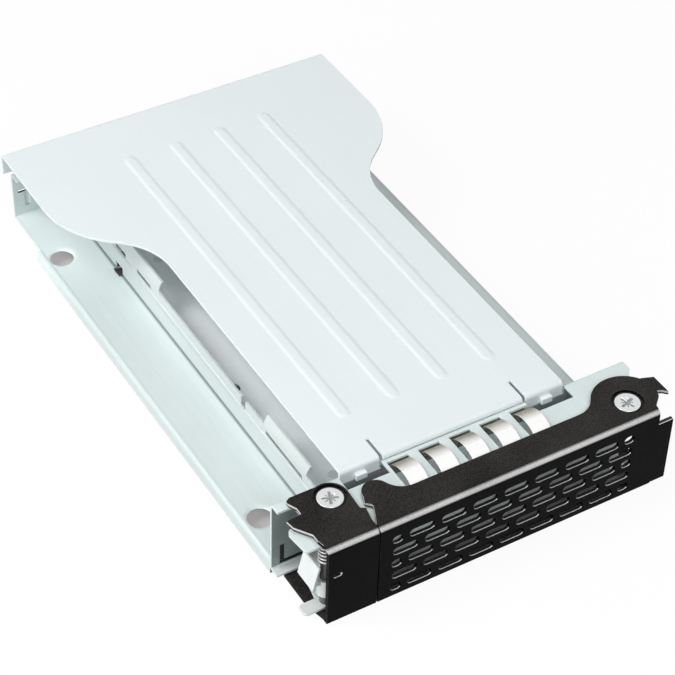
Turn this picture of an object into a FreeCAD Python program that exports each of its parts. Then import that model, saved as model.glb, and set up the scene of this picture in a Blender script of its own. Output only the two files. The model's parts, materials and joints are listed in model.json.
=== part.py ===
import FreeCAD, Part
import Sketcher
import os
import re

doc = FreeCAD.newDocument("drive_carrier")

# Sizes in millimetres. X runs across from the middle of the tray, Y back from the front face, Z up from
# the rest plane. The finished pieces are set with the middle of the whole carrier over the origin.
sizes = [
    ("overall_length", 180.6, "front face to rear lip"),
    ("gap", 0.4, "room between pieces that move past each other"),
    ("fit", 0.08, "radial room of a turning fit"),
    ("sheet", 0.8, "sheet of tray, bracket and cover"),
    ("bend_outer", 1.3, "outer radius of a fold"),
    ("bend_inner", 0.5, "inner radius of a fold"),
    ("floor_top", 4.3, "top of the tray floor"),
    ("skirt_end", 161.3, "rear end of the side skirts"),
    ("edge_relief", 1.4, "floor set in behind the skirts"),
    ("lip_inset", 2.0, "front lips, from the vent window"),
    ("lip_width", 23.0, "front lips, width"),
    ("lip_top", 12.0, "front lips, upper edge"),
    ("rear_wall_width", 14.05, "rear corner walls, width"),
    ("rear_wall_top", 19.6, "rear corner walls, upper edge"),
    ("rear_lip_depth", 4.4, "forward lip on the rear corner walls"),
    ("rear_slot_inset", 4.95, "slot in the rear corner wall, from the side"),
    ("rear_slot_z", 12.9, "slot in the rear corner wall, height"),
    ("rear_slot_length", 4.2, "slot in the rear corner wall, length"),
    ("rear_slot_height", 0.9, "slot in the rear corner wall, width"),
    ("wing_hole_half", 47.625, "wing holes, half of 95.25"),
    ("wing_hole_front", 36.8, "wing holes, front pair"),
    ("wing_hole_pitch", 118.5, "wing holes, front to rear"),
    ("wing_margin", 5.325, "wing holes to the side of the tray"),
    ("ear_reach", 1.25, "ears and right flap beyond the tray"),
    ("web_reach", 0.1, "bracket web beyond the tray"),
    ("wing_hole_radius", 3.45, "wing holes"),
    ("wing_rim", 0.35, "bevel round the wing holes"),
    ("front_wall", 21.2, "front of the bracket web and of the cover fold"),
    ("flange_top", 25.6, "top of the bracket flange"),
    ("flange_front", 2.8, "front edge of flange and tongue"),
    ("ear_front", 3.6, "left ears, front"),
    ("ear_tip", 10.6, "upper ear, widest point"),
    ("ear_rear", 12.2, "upper ear, rear"),
    ("low_ear_rear", 7.3, "lower ear, rear"),
    ("ear_depth", 5.7, "ears, depth of the notch behind them"),
    ("ear_round", 1.2, "left ears, corner radius"),
    ("tongue_notch", 7.8, "tongue, depth of the notch behind the lower ear"),
    ("notch_rear", 18.3, "side notches behind the ears, rear"),
    ("lobe_inner", 5.1, "flange lobe about the handle pivot"),
    ("corner_notch_front", 16.6, "flange notch for the cover's corner lip, front"),
    ("slit_margin", 2.5, "relief slit in the web, from its end"),
    ("slit_length", 10.4, "relief slit in the web, length"),
    ("slit_top", 9.9, "relief slit in the web, upper end"),
    ("slit_width", 1.1, "relief slit in the web, width"),
    ("vent_half", 26.0, "vent window in the web, half width"),
    ("vent_low", 7.0, "vent window in the web, lower edge"),
    ("vent_high", 18.6, "vent window in the web, upper edge"),
    ("emi_sheet", 0.2, "sheet of the finger strip"),
    ("emi_center", 1.0, "middle finger, across"),
    ("emi_pitch", 9.2, "fingers, spacing"),
    ("finger_width", 5.3, "fingers, width"),
    ("finger_radius", 7.4, "fingers, radius of the arch"),
    ("finger_middle", 14.1, "fingers, crown of the arch"),
    ("finger_rise", 1.6, "fingers, crown above the flange"),
    ("finger_tip", 8.0, "fingers, front tip"),
    ("finger_room", 1.2, "flange windows, room beside a finger"),
    ("window_front", 8.2, "flange windows, front"),
    ("window_rear", 20.0, "flange windows, rear"),
    ("strip_low", 19.4, "finger strip, lower edge"),
    ("strip_end", 2.0, "finger strip beyond the outer fingers"),
    ("drive_half", 34.925, "half of a 69.85 wide drive"),
    ("drive_play", 0.175, "room beside the drive"),
    ("cradle_sheet", 0.75, "sheet of the cradle"),
    ("cradle_front", 26.0, "cradle, front end"),
    ("cradle_rear", 173.0, "cradle, rear end"),
    ("cradle_top", 14.5, "cradle walls, upper edge"),
    ("ledge_height", 11.5, "step line on the cradle walls"),
    ("ledge_depth", 0.3, "step on the cradle walls"),
    ("tab_top", 17.2, "spring tabs, upper edge"),
    ("tab_lean", 1.4, "spring tabs, lean over the drive"),
    ("front_tab_from", 35.0, "front spring tab, front end"),
    ("front_tab_to", 57.0, "front spring tab, rear end"),
    ("rear_tab_from", 117.5, "rear spring tab, front end"),
    ("rear_tab_to", 155.0, "rear spring tab, rear end"),
    ("slot_low", 11.7, "wall windows, lower edge"),
    ("slot_high", 13.4, "wall windows, upper edge"),
    ("front_slot_from", 36.5, "front wall window, front end"),
    ("front_slot_to", 55.5, "front wall window, rear end"),
    ("mid_slot_from", 121.8, "middle wall window, front end"),
    ("mid_slot_to", 130.3, "middle wall window, rear end"),
    ("rear_slot_from", 137.4, "rear wall window, front end"),
    ("rear_slot_to", 144.0, "rear wall window, rear end"),
    ("wall_notch_from", 66.5, "wall notch, front end"),
    ("wall_notch_to", 69.0, "wall notch, rear end"),
    ("foot_cut_from", 139.3, "foot cut-out, front end"),
    ("foot_cut_to", 143.5, "foot cut-out, rear end"),
    ("foot_cut_in", 1.5, "foot cut-out, inside the drive's side"),
    ("foot_cut_out", 1.05, "foot cut-out, outside the cradle wall"),
    ("foot_cut_top", 9.0, "foot cut-out, upper edge"),
    ("drive_hole_half", 30.86, "drive screws, half of 61.72"),
    ("drive_hole_front", 81.4, "drive screws, front pair"),
    ("drive_hole_pitch", 76.6, "drive screws, front to rear"),
    ("drive_hole_radius", 1.7, "drive screws, clearance hole"),
    ("driver_hole_radius", 3.6, "access holes in the floor below the drive screws"),
    ("rivet_radius", 1.5, "rivet shanks"),
    ("rivet_head_radius", 2.2, "rivet heads"),
    ("rivet_head", 0.6, "rivet heads, height"),
    ("cradle_rivet_half", 24.0, "cradle rivets, across"),
    ("cradle_rivet_front", 40.0, "cradle rivets, front pair"),
    ("cradle_rivet_pitch", 100.0, "cradle rivets, front to rear"),
    ("bracket_rivet_inset", 4.5, "bracket rivets, from the inner end of the front lips"),
    ("bracket_rivet_z", 8.2, "bracket rivets, height"),
    ("cover_top", 27.1, "top of the cover"),
    ("cover_reach", 0.75, "cover beyond the tray at the rear"),
    ("cover_narrow", 33.7, "cover, half width at the front"),
    ("shoulder_outer", 138.2, "cover shoulder, at the wide edge"),
    ("shoulder_run", 16.5, "cover shoulder, front to rear"),
    ("shoulder_convex", 28.0, "cover shoulder, outer radius"),
    ("shoulder_concave", 19.5, "cover shoulder, inner radius"),
    ("rib_pitch", 14.7, "ribs, spacing"),
    ("rib_width", 3.5, "ribs, width"),
    ("rib_height", 0.4, "ribs, height"),
    ("rib_front", 37.6, "ribs, front end"),
    ("rib_rear", 161.3, "ribs, rear end"),
    ("cover_slot_x", 21.6, "front slots in the cover, across"),
    ("cover_slot_width", 1.0, "front slots in the cover, width"),
    ("cover_slot_end", 28.4, "front slots in the cover, rear end"),
    ("center_lip", 1.4, "centre front lip, height"),
    ("corner_lip", 4.3, "corner front lips, height"),
    ("nub_center", 28.0, "snap nubs, across"),
    ("nub_width", 3.2, "snap nubs, width"),
    ("nub_depth", 1.4, "snap nubs, forward reach"),
    ("nub_height", 1.8, "snap nubs, height"),
    ("rear_lip", 6.8, "rear lip, height"),
    ("hook_inset", 2.0, "rear hooks, from the end of the corner wall"),
    ("hook_width", 8.0, "rear hooks, width"),
    ("hook_low", 14.0, "rear hooks, lower edge"),
    ("bezel_sheet", 1.2, "sheet of the two levers"),
    ("bezel_top", 27.3, "top of the levers"),
    ("bezel_bottom", 0.3, "underside of the levers"),
    ("bezel_outer", 2.2, "outer radius of the upper lever folds"),
    ("bezel_inner", 1.0, "inner radius of the upper lever folds"),
    ("bezel_low_outer", 0.6, "outer radius of the lower lever folds"),
    ("bezel_low_inner", 0.3, "inner radius of the lower lever folds"),
    ("cap_span", 19.45, "seam between the levers, from the left reach"),
    ("seam_gap", 0.4, "seam between the levers, width"),
    ("handle_pivot_inset", 10.3, "handle pivot, from the right reach"),
    ("handle_pivot_y", 7.0, "handle pivot, back"),
    ("handle_rear", 9.1, "handle, rear edge of the top"),
    ("handle_lobe", 9.6, "handle, lobe about the pivot"),
    ("handle_lobe_blend", 7.0, "handle, hollow beside the right lobe"),
    ("lobe_inset", 5.75, "handle, left lobe from the seam"),
    ("nose_lobe_y", 11.5, "handle, left lobe back"),
    ("nose_lobe", 3.8, "handle, left lobe radius"),
    ("nose_lobe_blend", 6.0, "handle, hollow beside the left lobe"),
    ("barb_inset", 1.05, "handle barb, tip from the seam"),
    ("barb_depth", 1.4, "handle barb, depth"),
    ("barb_tip_y", 9.3, "handle barb, tip back"),
    ("barb_root_y", 7.4, "handle barb, root back"),
    ("flap_length", 4.7, "handle, flap beyond the folds"),
    ("claw_reach", 1.2, "handle claw beyond the right flap"),
    ("claw_rear", 12.4, "handle claw, rear"),
    ("claw_side", 11.2, "handle claw, side begins"),
    ("claw_tip", 4.7, "handle claw, tip"),
    ("claw_width", 1.2, "handle claw, width of the tip"),
    ("claw_neck", 3.2, "handle claw, neck from its side"),
    ("claw_hollow", 6.5, "handle claw, hollow beside the tip"),
    ("flap_top", 22.1, "handle, top of the right flap"),
    ("flap_bottom", 0.9, "handle, bottom of the right flap"),
    ("grille_shift", 1.975, "vent slots, left of the middle of the front"),
    ("grille_pitch", 9.29, "vent slots, spacing across"),
    ("grille_row_pitch", 4.3, "vent slots, spacing of the rows"),
    ("grille_middle", 12.4, "vent slots, middle row"),
    ("vent_slot_length", 7.4, "vent slots, length"),
    ("vent_slot_height", 2.5, "vent slots, height"),
    ("vent_end_length", 3.2, "short end slots, length"),
    ("vent_end_inset", 34.9, "short end slots, from the middle"),
    ("cap_pivot_inset", 14.3, "short lever pivot, from the left reach"),
    ("cap_inset", 5.0, "short lever, left end of the front from the left reach"),
    ("cap_pivot_y", 15.4, "short lever pivot, back"),
    ("cap_lobe", 4.8, "short lever, lobe about the pivot"),
    ("nose_reach", 0.6, "short lever nose, tip from the seam"),
    ("neck_depth", 0.65, "short lever, neck from the seam"),
    ("cap_nose_y", 7.9, "short lever nose, tip back"),
    ("cap_nose_front", 3.7, "short lever nose, front"),
    ("cap_neck_y", 8.6, "short lever, neck behind the nose"),
    ("rear_corner_reach", 0.9, "short lever, rear corner beyond the front"),
    ("cap_notch_depth", 0.2, "short lever, side notch inside the front"),
    ("cap_claw_reach", 4.1, "short lever, claw beyond the front"),
    ("waist_reach", 0.7, "short lever, waist beyond the front"),
    ("low_reach", 1.4, "short lever, lower plate beyond the front"),
    ("cap_rear", 20.0, "short lever, rear edge"),
    ("cap_notch_rear", 18.2, "short lever, side notch rear"),
    ("cap_notch_front", 13.8, "short lever, side notch front"),
    ("cap_claw_y", 13.4, "short lever, claw back"),
    ("cap_claw_width", 2.6, "short lever, claw side"),
    ("cap_waist_y", 6.4, "short lever, waist before the claw"),
    ("cap_low_y", 8.0, "short lever, lower plate side begins"),
    ("spring_eye_z", 17.2, "oval hole for the spring leg, height"),
    ("spring_eye_length", 2.5, "oval hole for the spring leg, length"),
    ("spring_eye_height", 1.2, "oval hole for the spring leg, width"),
    ("shoulder_radius", 2.5, "pivot shoulder"),
    ("screw_head_radius", 3.45, "pivot screw head"),
    ("screw_head", 0.45, "pivot screw head, height"),
    ("screw_ring", 0.8, "room round the screw head"),
    ("screw_shank", 1.5, "pivot screw thread"),
    ("screw_length", 4.2, "pivot screw thread, length"),
    ("head_step", 0.4, "screw head above the lower side of the lever sheet"),
    ("cross_length", 3.6, "cross recess, length"),
    ("cross_width", 0.8, "cross recess, width"),
    ("cross_depth", 0.4, "cross recess, depth"),
    ("washer_radius", 4.4, "wear washers"),
    ("nut_radius", 3.2, "press nuts, over the corners"),
    ("nut_height", 2.4, "press nuts, height"),
    ("spacer_radius", 3.2, "lower studs, spacer"),
    ("stud_end", 0.4, "lower studs, lower end"),
    ("post_inset", 2.7, "catch post, from the end of the short lever"),
    ("post_y", 5.6, "catch post, back"),
    ("post_radius", 1.5, "catch post"),
    ("hub_radius", 2.4, "catch hub"),
    ("hub_low", 6.0, "catch hub, lower end"),
    ("hub_high", 11.6, "catch hub, upper end"),
    ("catch_sheet", 0.6, "sheet of the catch"),
    ("flap_front", 3.8, "catch flap, front edge"),
    ("flap_rear", 11.2, "catch flap, rear edge"),
    ("flap_offset", 3.2, "catch flap, upper edge from the post"),
    ("flap_lean", 1.7, "catch flap, lean outwards"),
    ("flap_low_z", 10.2, "catch flap, lower edge"),
    ("flap_high_z", 17.1, "catch flap, upper edge"),
    ("arm_thick", 1.0, "catch arm, height"),
    ("coil_radius", 1.95, "spring, mean radius"),
    ("wire_radius", 0.25, "spring wire"),
    ("coil_high", 23.2, "spring, highest turn"),
    ("coil_turns", 5, "spring, turns"),
    ("leg_reach", 3.3, "spring, length of the front leg"),
]

dims = doc.addObject("Spreadsheet::Sheet", "dims")
for row, (alias, size, meaning) in enumerate(sizes, start=1):
    dims.set("A%d" % row, meaning)
    dims.set("B%d" % row, str(size))
    dims.setAlias("B%d" % row, alias)
doc.recompute()
aliases = set(alias for alias, size, meaning in sizes)

# Places across the width that follow from the sizes, each tied to the piece it belongs to.
places = {
    "tray_half": "wing_hole_half + wing_margin",
    "half_span": "tray_half + ear_reach",
    "web_half": "tray_half + web_reach",
    "cover_wide": "tray_half + cover_reach",
    "rear_wall_from": "tray_half - edge_relief - rear_wall_width",
    "rear_slot_x": "tray_half - rear_slot_inset",
    "hook_from": "rear_wall_from + hook_inset",
    "hook_to": "hook_from + hook_width",
    "lip_from": "vent_half + lip_inset",
    "lip_to": "lip_from + lip_width",
    "bracket_rivet_half": "lip_from + bracket_rivet_inset",
    "tongue_low": "bezel_bottom + bezel_sheet + gap",
    "tongue_top": "tongue_low + sheet",
    "slit_low": "tongue_top + bend_inner",
    "slit_outer": "web_half - slit_margin",
    "slit_inner": "slit_outer - slit_length",
    "notch_half": "half_span - ear_depth",
    "tongue_notch_half": "half_span - tongue_notch",
    "corner_notch_from": "cover_slot_x + cover_slot_width / 2 - gap",
    "corner_notch_to": "cover_narrow + gap",
    "foot_cut_inner": "drive_half - foot_cut_in",
    "foot_cut_outer": "drive_half + drive_play + cradle_sheet + foot_cut_out",
    "seam": "cap_span - half_span",
    "handle_pivot_x": "half_span - handle_pivot_inset",
    "fold_end": "half_span - flap_length",
    "claw_edge": "half_span + claw_reach",
    "nose_lobe_x": "seam + lobe_inset",
    "barb_tip_x": "seam + barb_inset",
    "barb_root_x": "barb_tip_x + barb_depth",
    "grille_center": "(seam + fold_end) / 2 - grille_shift",
    "cap_pivot_x": "cap_pivot_inset - half_span",
    "cap_left": "cap_inset - half_span",
    "cap_nose_x": "seam + nose_reach",
    "cap_neck_x": "seam - neck_depth",
    "cap_rear_corner": "cap_left - rear_corner_reach",
    "cap_notch_x": "cap_left + cap_notch_depth",
    "cap_claw_x": "cap_left - cap_claw_reach",
    "cap_waist_x": "cap_left - waist_reach",
    "cap_low_x": "cap_left - low_reach",
    "post_x": "cap_left + post_inset",
    "flap_high_x": "post_x - flap_offset",
    "flap_low_x": "flap_high_x - flap_lean",
    "shoulder_inner": "shoulder_outer - shoulder_run",
}


def bound(text):
    """Expression text with every place worked out and every size name pointed at the sheet."""
    def swap(word):
        name = word.group()
        if name in places:
            return "(%s)" % bound(places[name])
        return "dims." + name if name in aliases else name
    return re.sub(r"[a-z_]+", swap, str(text))


def value(text):
    """Number that an expression text stands for."""
    return float(dims.evalExpression(bound(text)))


def new_body(name):
    """Body in the shared frame: centred on the width and length, resting on Z = 0."""
    body = doc.addObject("PartDesign::Body", name)
    body.Label = name
    body.setExpression("Placement.Base.x", bound("-claw_reach / 2"))
    body.setExpression("Placement.Base.y", bound("-overall_length / 2"))
    return body


def new_sketch(body, name, plane, level):
    """Sketch on an origin plane of the body, moved to a level along the third axis."""
    sketch = body.newObject("Sketcher::SketchObject", name)
    support = [item for item in body.Origin.OriginFeatures if item.Role == plane + "_Plane"]
    sketch.AttachmentSupport = [(support[0], "")]
    sketch.MapMode = "FlatFace"
    side = "-" if plane == "XZ" else ""
    sketch.setExpression("AttachmentOffset.Base.z", bound("%s(%s)" % (side, level)))
    return sketch


def fix(sketch, kind, geometry, point, text):
    """Distance of a point from the sketch origin, bound to the sheet."""
    number = sketch.addConstraint(Sketcher.Constraint(kind, -1, 1, geometry, point, value(text)))
    sketch.setExpression("Constraints[%d]" % number, bound(text))


def polygon(sketch, points):
    """Closed outline of straight sides."""
    spots = [FreeCAD.Vector(value(x), value(y), 0) for x, y in points]
    first = sketch.GeometryCount
    count = len(spots)
    for i in range(count):
        sketch.addGeometry(Part.LineSegment(spots[i], spots[(i + 1) % count]), False)
    for i in range(count):
        following = first + (i + 1) % count
        sketch.addConstraint(Sketcher.Constraint("Coincident", first + i, 2, following, 1))
    for i, (x, y) in enumerate(points):
        fix(sketch, "DistanceX", first + i, 1, x)
        fix(sketch, "DistanceY", first + i, 1, y)


def rectangle(sketch, x_from, x_to, y_from, y_to):
    """Upright rectangle."""
    polygon(sketch, [(x_from, y_from), (x_to, y_from), (x_to, y_to), (x_from, y_to)])


def circle(sketch, x, y, radius):
    """Full circle."""
    middle = FreeCAD.Vector(value(x), value(y), 0)
    up = FreeCAD.Vector(0, 0, 1)
    index = sketch.addGeometry(Part.Circle(middle, up, value(radius)), False)
    fix(sketch, "DistanceX", index, 3, x)
    fix(sketch, "DistanceY", index, 3, y)
    number = sketch.addConstraint(Sketcher.Constraint("Radius", index, value(radius)))
    sketch.setExpression("Constraints[%d]" % number, bound(radius))


def half_disc(sketch, x, y, radius):
    """Half circle on the rear side of its centre."""
    middle = FreeCAD.Vector(value(x), value(y), 0)
    up = FreeCAD.Vector(0, 0, 1)
    half_turn = FreeCAD.Units.parseQuantity("180 deg").getValueAs("rad").Value
    first = sketch.GeometryCount
    sketch.addGeometry(Part.ArcOfCircle(Part.Circle(middle, up, value(radius)), 0, half_turn), False)
    ring = sketch.Geometry[first]
    sketch.addGeometry(Part.LineSegment(ring.EndPoint, ring.StartPoint), False)
    sketch.addConstraint(Sketcher.Constraint("Coincident", first, 2, first + 1, 1))
    sketch.addConstraint(Sketcher.Constraint("Coincident", first, 1, first + 1, 2))
    sketch.addConstraint(Sketcher.Constraint("Horizontal", first + 1))
    sketch.addConstraint(Sketcher.Constraint("PointOnObject", first, 3, first + 1))
    fix(sketch, "DistanceX", first, 3, x)
    fix(sketch, "DistanceY", first, 3, y)
    number = sketch.addConstraint(Sketcher.Constraint("Radius", first, value(radius)))
    sketch.setExpression("Constraints[%d]" % number, bound(radius))


def long_hole(sketch, x, y, length, width, upright=False):
    """Slot with round ends, along the first sketch axis or upright."""
    reach = "(%s - (%s)) / 2" % (length, width)
    radius = "(%s) / 2" % width
    along = FreeCAD.Vector(0, 1, 0) if upright else FreeCAD.Vector(1, 0, 0)
    turn = 90 if upright else 0
    middle = FreeCAD.Vector(value(x), value(y), 0)
    up = FreeCAD.Vector(0, 0, 1)
    across = up.cross(along)
    far = middle + along * value(reach)
    near = middle - along * value(reach)
    wide = across * value(radius)
    quarter = FreeCAD.Units.parseQuantity("90 deg").getValueAs("rad").Value
    base = quarter * turn / 90
    first = sketch.GeometryCount
    far_ring = Part.Circle(far, up, value(radius))
    near_ring = Part.Circle(near, up, value(radius))
    sketch.addGeometry(Part.ArcOfCircle(far_ring, base - quarter, base + quarter), False)
    sketch.addGeometry(Part.LineSegment(far + wide, near + wide), False)
    sketch.addGeometry(Part.ArcOfCircle(near_ring, base + quarter, base + 3 * quarter), False)
    sketch.addGeometry(Part.LineSegment(near - wide, far - wide), False)
    for i in range(4):
        following = first + (i + 1) % 4
        sketch.addConstraint(Sketcher.Constraint("Tangent", first + i, 2, following, 1))
    sketch.addConstraint(Sketcher.Constraint("Equal", first, first + 2))
    number = sketch.addConstraint(Sketcher.Constraint("Radius", first, value(radius)))
    sketch.setExpression("Constraints[%d]" % number, bound(radius))
    for ring, sign in ((first, "+"), (first + 2, "-")):
        moved = "%s %s %s" % ((y if upright else x), sign, reach)
        fix(sketch, "DistanceX", ring, 3, x if upright else moved)
        fix(sketch, "DistanceY", ring, 3, moved if upright else y)


def add(body, sketch, depth):
    """Solid raised from a sketch towards +Z, +Y or +X."""
    feature = body.newObject("PartDesign::Pad", sketch.Name + "_pad")
    feature.Profile = sketch
    feature.setExpression("Length", bound(depth))
    feature.Reversed = sketch.AttachmentSupport[0][0].Role == "XZ_Plane"
    body.Tip = feature
    doc.recompute()
    return feature


def cut(body, sketch, depth):
    """Material taken away from a sketch towards -Z, +Y or -X."""
    feature = body.newObject("PartDesign::Pocket", sketch.Name + "_cut")
    feature.Profile = sketch
    feature.setExpression("Length", bound(depth))
    body.Tip = feature
    doc.recompute()
    return feature


def row_of(body, original, direction, span, count):
    """Copies of a feature in a straight row."""
    feature = body.newObject("PartDesign::LinearPattern", original.Name + "_row")
    feature.Originals = [original]
    axis = [item for item in body.Origin.OriginFeatures if item.Role == direction + "_Axis"]
    feature.Direction = (axis[0], [""])
    feature.setExpression("Length", bound(span))
    feature.Occurrences = count
    body.Tip = feature
    doc.recompute()
    return feature


def edges_along(shape, axis, spots):
    """Names of the straight edges along an axis that pass a spot given by the other two axes."""
    kept = [i for i in range(3) if i != "XYZ".index(axis)]
    names = []
    for number, edge in enumerate(shape.Edges, start=1):
        if len(edge.Vertexes) != 2:
            continue
        ends = [vertex.Point for vertex in edge.Vertexes]
        run = ends[1] - ends[0]
        off = max(abs(run[kept[0]]), abs(run[kept[1]]))
        if off > 0.001 or edge.Length < 0.01:
            continue
        for spot in spots:
            miss = max(abs(ends[0][kept[i]] - value(spot[i])) for i in range(2))
            if miss < 0.02:
                names.append("Edge%d" % number)
                break
    return names


def round_off(body, name, axis, radius, spots):
    """Rounded edges along an axis."""
    base = body.Tip
    feature = body.newObject("PartDesign::Fillet", name)
    feature.Base = (base, edges_along(base.Shape, axis, spots))
    feature.setExpression("Radius", bound(radius))
    body.Tip = feature
    doc.recompute()
    return feature


def rims(shape, level, radius):
    """Names of the round edges of one radius at one height."""
    names = []
    for number, edge in enumerate(shape.Edges, start=1):
        if edge.Curve.TypeId != "Part::GeomCircle":
            continue
        if abs(edge.Curve.Radius - value(radius)) > 0.001:
            continue
        if abs(edge.Curve.Center.z - value(level)) < 0.001:
            names.append("Edge%d" % number)
    return names


def bevel_rims(body, name, level, radius, width):
    """Bevels on round edges."""
    base = body.Tip
    feature = body.newObject("PartDesign::Chamfer", name)
    feature.Base = (base, rims(base.Shape, level, radius))
    feature.setExpression("Size", bound(width))
    body.Tip = feature
    doc.recompute()
    return feature


sides = (("left", "-"), ("right", ""))
floor_low = "floor_top - sheet"
rear_face = "overall_length - sheet"
web_rear = "front_wall + sheet"
rear_half = "tray_half - edge_relief"

# Tray: floor, side skirts, front lips and rear corner walls folded from one sheet.
tray = new_body("tray")
sketch = new_sketch(tray, "tray_floor", "XY", floor_low)
polygon(sketch, [
    ("-tray_half", web_rear),
    ("tray_half", web_rear),
    ("tray_half", "skirt_end"),
    (rear_half, "skirt_end"),
    (rear_half, rear_face),
    ("-(%s)" % rear_half, rear_face),
    ("-(%s)" % rear_half, "skirt_end"),
    ("-tray_half", "skirt_end"),
])
add(tray, sketch, "sheet")
for side, sign in sides:
    sketch = new_sketch(tray, "tray_skirt_" + side, "XY", "0")
    rectangle(sketch, sign + "tray_half", sign + "(tray_half - sheet)", web_rear, "skirt_end")
    add(tray, sketch, floor_low)
    sketch = new_sketch(tray, "tray_lip_" + side, "XZ", web_rear)
    rectangle(sketch, sign + "lip_from", sign + "lip_to", "floor_top", "lip_top")
    add(tray, sketch, "sheet")
    sketch = new_sketch(tray, "tray_rear_wall_" + side, "XZ", rear_face + " - sheet")
    rectangle(sketch, sign + "rear_wall_from", sign + "(%s)" % rear_half, floor_low, "rear_wall_top")
    add(tray, sketch, "sheet")
    sketch = new_sketch(tray, "tray_rear_lip_" + side, "XY", "rear_wall_top - sheet")
    rectangle(sketch, sign + "rear_wall_from", sign + "(%s)" % rear_half,
              rear_face + " - rear_lip_depth", rear_face)
    add(tray, sketch, "sheet")
round_off(tray, "tray_skirt_folds", "Y", "bend_outer",
          [("-tray_half", "floor_top"), ("tray_half", "floor_top")])
round_off(tray, "tray_skirt_inner", "Y", "bend_inner",
          [("-(tray_half - sheet)", floor_low), ("tray_half - sheet", floor_low)])
round_off(tray, "tray_rear_fold", "X", "bend_inner", [(rear_face, "rear_wall_top")])
sketch = new_sketch(tray, "tray_rear_slots", "XZ", rear_face + " - sheet - rear_lip_depth")
for side, sign in sides:
    long_hole(sketch, sign + "rear_slot_x", "rear_slot_z", "rear_slot_length", "rear_slot_height")
cut(tray, sketch, "2 * rear_lip_depth")
sketch = new_sketch(tray, "tray_wing_holes", "XY", "floor_top")
for side, sign in sides:
    for back in ("wing_hole_front", "wing_hole_front + wing_hole_pitch"):
        circle(sketch, sign + "wing_hole_half", back, "wing_hole_radius")
cut(tray, sketch, "floor_top")
bevel_rims(tray, "tray_wing_rims", "floor_top", "wing_hole_radius", "wing_rim")
sketch = new_sketch(tray, "tray_foot_cuts", "XY", "floor_top")
for side, sign in sides:
    rectangle(sketch, sign + "foot_cut_inner", sign + "foot_cut_outer", "foot_cut_from", "foot_cut_to")
cut(tray, sketch, "floor_top")
sketch = new_sketch(tray, "tray_floor_holes", "XY", "floor_top")
for side, sign in sides:
    for back in ("drive_hole_front", "drive_hole_front + drive_hole_pitch"):
        circle(sketch, sign + "drive_hole_half", back, "driver_hole_radius")
    for back in ("cradle_rivet_front", "cradle_rivet_front + cradle_rivet_pitch"):
        circle(sketch, sign + "cradle_rivet_half", back, "rivet_radius")
cut(tray, sketch, "floor_top")
sketch = new_sketch(tray, "tray_lip_holes", "XZ", web_rear)
for side, sign in sides:
    circle(sketch, sign + "bracket_rivet_half", "bracket_rivet_z", "rivet_radius")
cut(tray, sketch, "sheet")

# Front bracket: upright web with a flange above and a tongue below, both reaching forward.
bracket = new_body("front_bracket")
sketch = new_sketch(bracket, "bracket_web", "XZ", "front_wall")
rectangle(sketch, "-web_half", "web_half", "tongue_low", "flange_top")
add(bracket, sketch, "sheet")
behind = [
    ("web_half", web_rear),
    ("-web_half", web_rear),
    ("-web_half", "notch_rear"),
]
upper_ear = [
    ("-notch_half", "notch_rear"),
    ("-notch_half", "ear_rear"),
    ("-(half_span - sheet)", "ear_rear"),
    ("-half_span", "ear_tip"),
    ("-(half_span - sheet)", "ear_front"),
    ("-notch_half", "ear_front"),
]
lower_ear = [
    ("-tongue_notch_half", "notch_rear"),
    ("-notch_half", "low_ear_rear"),
    ("-(half_span - sheet)", "low_ear_rear"),
    ("-(half_span - sheet)", "ear_front"),
    ("-notch_half", "ear_front"),
]
ahead = [
    ("cap_pivot_x", "flange_front"),
    ("handle_pivot_x - lobe_inner", "flange_front"),
    ("handle_pivot_x", "handle_pivot_y"),
    ("web_half", "notch_rear"),
]
for level, name, ear in (("flange_top - sheet", "bracket_flange", upper_ear),
                         ("tongue_low", "bracket_tongue", lower_ear)):
    sketch = new_sketch(bracket, name, "XY", level)
    polygon(sketch, behind + ear + ahead)
    add(bracket, sketch, "sheet")
    sketch = new_sketch(bracket, name + "_lobe", "XY", level)
    circle(sketch, "handle_pivot_x", "handle_pivot_y", "lobe_inner")
    add(bracket, sketch, "sheet")
round_off(bracket, "bracket_ears", "Z", "ear_round", [
    ("-(half_span - sheet)", "ear_rear"),
    ("-(half_span - sheet)", "low_ear_rear"),
    ("-(half_span - sheet)", "ear_front"),
])
round_off(bracket, "bracket_folds", "X", "bend_outer", [(web_rear, "flange_top"), (web_rear, "tongue_low")])
round_off(bracket, "bracket_inner_folds", "X", "bend_inner",
          [("front_wall", "flange_top - sheet"), ("front_wall", "tongue_top")])
lip_low = "cover_top - corner_lip"
sketch = new_sketch(bracket, "bracket_corner_notches", "XY", "flange_top")
for side, sign in sides:
    rectangle(sketch, sign + "corner_notch_from", sign + "corner_notch_to", "corner_notch_front", web_rear)
cut(bracket, sketch, "flange_top - (%s)" % lip_low)
sketch = new_sketch(bracket, "bracket_windows", "XY", "flange_top")
window_half = "(finger_width / 2 + finger_room)"
for i in range(-2, 3):
    middle = "emi_center + %d * emi_pitch" % i
    rectangle(sketch, "%s - %s" % (middle, window_half), "%s + %s" % (middle, window_half),
              "window_front", "window_rear")
cut(bracket, sketch, "2 * sheet")
sketch = new_sketch(bracket, "bracket_web_cuts", "XZ", "front_wall - bend_inner")
rectangle(sketch, "-vent_half", "vent_half", "vent_low", "vent_high")
for side, sign in sides:
    polygon(sketch, [
        (sign + "slit_outer", "slit_low"),
        (sign + "slit_outer", "slit_top"),
        (sign + "(slit_outer - slit_width)", "slit_top"),
        (sign + "(slit_outer - slit_width)", "slit_low + slit_width"),
        (sign + "slit_inner", "slit_low + slit_width"),
        (sign + "slit_inner", "slit_low"),
    ])
    circle(sketch, sign + "bracket_rivet_half", "bracket_rivet_z", "rivet_radius")
cut(bracket, sketch, "sheet + 2 * bend_inner")
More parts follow.
